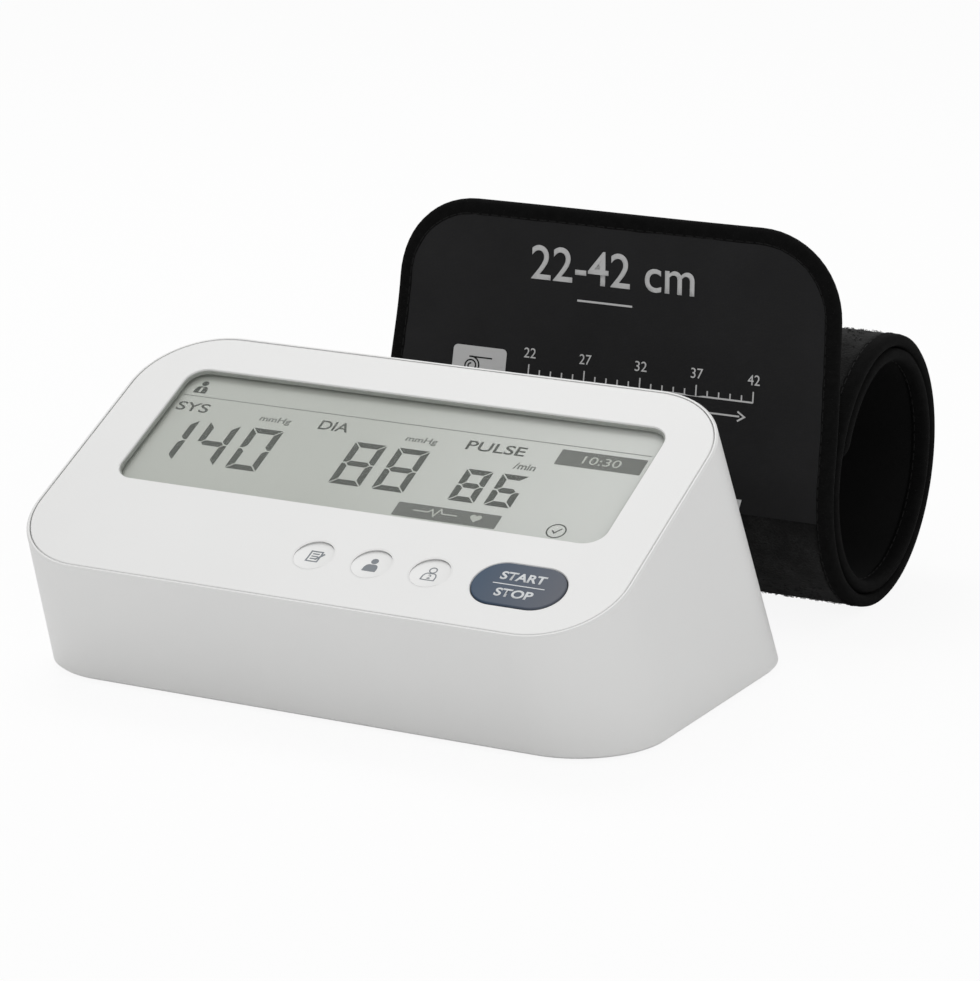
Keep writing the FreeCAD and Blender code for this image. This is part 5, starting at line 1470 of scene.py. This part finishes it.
def make_cuff_print(cuff, finish):
    """Grey print on the flap: arm range, ruler, sign and index mark."""
    shapes = [lettering("22-42 cm", RANGE_BOX, RANGE_WEIGHT)] + ruler_shapes()
    shapes.append(flat_shape(rounded_box(*SIGN_BOX, SIGN_CORNER)))
    shapes.append(flat_line(RANGE_LINE, RANGE_LINE_WIDTH * MM))
    shapes.append(flat_shape(INDEX_POINTS))
    pale = screen_ink("flap_print_grey", finish.cuff_print, FLAP_INK)
    dark = screen_ink("flap_print_black", finish.nylon, FLAP_INK)
    print_on_flap("cuff_flap_print", shapes, cuff, PRINT_LIFT, pale)
    print_on_flap("cuff_flap_sign", coil_shapes(), cuff, PRINT_LIFT + PRINT_THICK, dark)


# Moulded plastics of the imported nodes: name, colour, roughness, and the grain's size and depth in millimetres
PLASTICS = {
    "white_plastic": ("moulded_abs_white", "housing", 0.42, 0.35, 0.03),
    "frame_plastic": ("moulded_abs_natural", "frames", 0.5, 0.6, 0.04),
    "black_plastic": ("moulded_abs_black", "black", 0.45, 0.4, 0.04),
    "jack_plastic": ("moulded_acetal_grey", "jack", 0.35, 0.5, 0.02),
    "curler_sheet": ("curler_sheet_natural", "frames", 0.35, 1.0, 0.02),
}
SCREW_GLOSS = 0.32
CAN_GLOSS = 0.42


def finish_table(finish):
    """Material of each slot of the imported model."""
    table = {
        # The slate's material carries a painted reflection across the cap
        "slate_plastic": slate_plastic("moulded_abs_slate", finish.slate, finish.slate_reflection_edge),
        "clear_window": clear_acrylic("clear_acrylic_window", finish.window),
        # The display's material carries painted light, paler towards the right
        "lcd_glass": display_glass("display_polariser", finish.display, finish.display_lit_edge),
        "rubber": rubber("moulded_rubber_grey", finish.rubber),
        "air_tube": silicone("silicone_tube_milky", finish.tube),
        "board_green": solder_mask("glass_fibre_board_green", finish.board, finish.tracks),
        "screw_steel": plated_steel("zinc_plated_steel", finish.steel, SCREW_GLOSS),
        "can_steel": plated_steel("drawn_steel_can", finish.steel, CAN_GLOSS),
        "cell_jacket": printed_jacket("printed_cell_jacket", finish.jacket),
        "cuff_cloth": brushed_pile("nylon_pile_base", finish.pile),
        "cuff_nylon": woven_cloth("nylon_base", finish.nylon, *BASE_WEAVE),
        "cuff_tape": ribbed_tape("tape_base", finish.tape),
        "bladder_film": silicone("bladder_film_milky", finish.film),
    }
    for slot, (name, tone, *grain) in PLASTICS.items():
        table[slot] = moulded_plastic(name, getattr(finish, tone), *grain)
    return table


def make_finishes(finish):
    """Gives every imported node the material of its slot."""
    table = finish_table(finish)
    for node in frame["nodes"].values():
        for place in node.material_slots:
            place.material = table[place.material.name.split(".")[0]]


# Studio in metres, with the grain of the floor's paper in millimetres
LOOK_AT = (0.0, 0.04, 0.05)
KEY_PLACE = (-0.35, 0.35, 1.15)
KEY_SIZE = 0.7
FILL_PLACE = (1.05, -0.75, 0.5)
FILL_SIZE = 0.9
FLOOR_SIZE = 8
FLOOR_GAP = 0.05 * MM
FLOOR_GLOW_SHARE = 0.91
PAPER_SIZE = 2.0
PAPER_DEPTH = 0.05


def white_floor(tone, white):
    """Pale studio floor: shows nearly white to the camera, and keeps the shadow under the object."""
    material, tree, place = start_material("studio_floor_white")
    paper = add_node(tree, "ShaderNodeTexNoise", {"Scale": pattern_scale(PAPER_SIZE), "Detail": 2.0},
                     {"Vector": place})
    bump = add_node(tree, "ShaderNodeBump", {"Strength": 0.02, "Distance": PAPER_DEPTH * MM},
                    {"Height": paper.outputs["Fac"]})
    matt = add_node(tree, "ShaderNodeBsdfDiffuse", {"Color": tone}, {"Normal": bump.outputs["Normal"]})
    glow = add_node(tree, "ShaderNodeEmission", {"Color": white, "Strength": 1.0})
    path = add_node(tree, "ShaderNodeLightPath")
    seen = add_node(tree, "ShaderNodeMath", {"operation": "MULTIPLY", 1: FLOOR_GLOW_SHARE},
                    {0: path.outputs["Is Camera Ray"]})
    both = add_node(tree, "ShaderNodeMixShader", None,
                    {0: seen.outputs["Value"], 1: matt.outputs["BSDF"], 2: glow.outputs["Emission"]})
    add_node(tree, "ShaderNodeOutputMaterial", None, {"Surface": both.outputs["Shader"]})
    return material


def white_world(level, white):
    """Even light all round, which shows as white behind the object, in its gloss and through its window."""
    world = bpy.data.worlds.new("studio_world")
    bpy.context.scene.world = world
    world.use_nodes = True
    tree = world.node_tree
    tree.nodes.clear()
    rays = add_node(tree, "ShaderNodeLightPath").outputs
    shiny = add_node(tree, "ShaderNodeMath", {"operation": "MAXIMUM"},
                     {0: rays["Is Glossy Ray"], 1: rays["Is Transmission Ray"]})
    seen = add_node(tree, "ShaderNodeMath", {"operation": "MAXIMUM"},
                    {0: rays["Is Camera Ray"], 1: shiny.outputs["Value"]})
    strength = add_node(tree, "ShaderNodeMapRange", {"To Min": level, "To Max": 1.0},
                        {"Value": seen.outputs["Value"]})
    sky = add_node(tree, "ShaderNodeBackground", {"Color": white}, {"Strength": strength.outputs["Result"]})
    add_node(tree, "ShaderNodeOutputWorld", None, {"Surface": sky.outputs["Background"]})


def add_lamp(name, place, size, power):
    """Square soft lamp that looks at the object."""
    deselect()
    bpy.ops.object.light_add(type="AREA", location=place)
    lamp = bpy.context.object
    lamp.name = name
    lamp.data.size = size
    lamp.data.energy = power
    lamp.rotation_euler = (Vector(LOOK_AT) - Vector(place)).to_track_quat("-Z", "Y").to_euler()


def make_studio(studio):
    """Floor, world, lamps and camera."""
    deselect()
    bpy.ops.mesh.primitive_plane_add(size=FLOOR_SIZE, location=(0, 0, -FLOOR_GAP))
    floor = bpy.context.object
    floor.name = "studio_floor"
    floor.data.materials.append(white_floor(studio.floor, studio.glow))
    white_world(studio.world_level, studio.glow)
    add_lamp("key_lamp", KEY_PLACE, KEY_SIZE, studio.key_power)
    add_lamp("fill_lamp", FILL_PLACE, FILL_SIZE, studio.fill_power)
    bpy.ops.object.camera_add(location=studio.eye)
    camera = bpy.context.object
    camera.name = "studio_camera"
    camera.data.lens = studio.lens
    camera.rotation_euler = Vector(studio.sight).to_track_quat("-Z", "Y").to_euler()
    bpy.context.scene.camera = camera
    bpy.context.scene.view_settings.view_transform = "Standard"


# Operators

class MONITOR_OT_studio(Operator):
    """Add the floor, lamps and camera"""
    bl_idname = "monitor.studio"
    bl_label = "Add studio"

    def execute(self, context):
        make_studio(context.scene.monitor_studio)
        return {"FINISHED"}


class MONITOR_OT_finishes(Operator):
    """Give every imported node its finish"""
    bl_idname = "monitor.finishes"
    bl_label = "Finish packed nodes"

    def execute(self, context):
        make_finishes(context.scene.monitor_colours)
        return {"FINISHED"}


class MONITOR_OT_readings(Operator):
    """Add the display's readings"""
    bl_idname = "monitor.readings"
    bl_label = "Add display readings"

    def execute(self, context):
        make_readings(context.scene.monitor_display, context.scene.monitor_colours)
        return {"FINISHED"}


class MONITOR_OT_seals(Operator):
    """Add the window's lining of painted shade and the buttons' seals"""
    bl_idname = "monitor.seals"
    bl_label = "Add lining and seals"

    def execute(self, context):
        for make in (make_window_painted_shade, make_button_seals):
            make(context.scene.monitor_colours)
        return {"FINISHED"}


class MONITOR_OT_button_prints(Operator):
    """Add the prints on the buttons"""
    bl_idname = "monitor.button_prints"
    bl_label = "Add button prints"

    def execute(self, context):
        make_button_prints(context.scene.monitor_display, context.scene.monitor_colours)
        return {"FINISHED"}


class MONITOR_OT_cuff_strip(Operator):
    """Add the cuff's padded strip"""
    bl_idname = "monitor.cuff_strip"
    bl_label = "Add cuff strip"

    def execute(self, context):
        make_strip(context.scene.monitor_cuff, context.scene.monitor_colours)
        return {"FINISHED"}


class MONITOR_OT_cuff_cloths(Operator):
    """Add the smooth panel, loop pile and hook patch of the cuff"""
    bl_idname = "monitor.cuff_cloths"
    bl_label = "Add cuff cloths"

    def execute(self, context):
        for make in (make_smooth_panel, make_pile, make_loose_loops, make_hook_patch, make_hooks):
            make(context.scene.monitor_cuff, context.scene.monitor_colours)
        return {"FINISHED"}


class MONITOR_OT_cuff_edge(Operator):
    """Add the cuff's edge tape and its seam"""
    bl_idname = "monitor.cuff_edge"
    bl_label = "Add cuff edge"

    def execute(self, context):
        for make in (make_tape, make_stitches):
            make(context.scene.monitor_cuff, context.scene.monitor_colours)
        return {"FINISHED"}


class MONITOR_OT_cuff_print(Operator):
    """Add the print on the cuff's flap"""
    bl_idname = "monitor.cuff_print"
    bl_label = "Add cuff print"

    def execute(self, context):
        make_cuff_print(context.scene.monitor_cuff, context.scene.monitor_colours)
        return {"FINISHED"}


class MONITOR_PT_pieces(Panel):
    """Pieces of the monitor in the sidebar"""
    bl_idname = "MONITOR_PT_pieces"
    bl_label = "Monitor"
    bl_space_type = "VIEW_3D"
    bl_region_type = "UI"
    bl_category = "Monitor"

    def draw(self, context):
        for step in STEPS:
            self.layout.operator(step.bl_idname)


STEPS = [MONITOR_OT_studio, MONITOR_OT_finishes, MONITOR_OT_readings, MONITOR_OT_seals,
         MONITOR_OT_button_prints, MONITOR_OT_cuff_strip, MONITOR_OT_cuff_cloths, MONITOR_OT_cuff_edge,
         MONITOR_OT_cuff_print]
GROUPS = {"monitor_display": DisplaySizes, "monitor_cuff": CuffSizes, "monitor_colours": FinishColours,
          "monitor_studio": StudioSettings}


def register():
    """Registers the classes and puts their settings on the scene."""
    for name, group in GROUPS.items():
        bpy.utils.register_class(group)
        setattr(bpy.types.Scene, name, PointerProperty(type=group))
    for kind in STEPS + [MONITOR_PT_pieces]:
        bpy.utils.register_class(kind)


def unregister():
    """Takes the classes and settings away again."""
    for kind in [MONITOR_PT_pieces] + STEPS[::-1]:
        bpy.utils.unregister_class(kind)
    for name, group in GROUPS.items():
        delattr(bpy.types.Scene, name)
        bpy.utils.unregister_class(group)


def main():
    """Makes every piece in order."""
    register()
    for step in STEPS:
        package, action = step.bl_idname.split(".")
        getattr(getattr(bpy.ops, package), action)()
    bpy.context.view_layer.update()


if __name__ == "__main__":
    main()
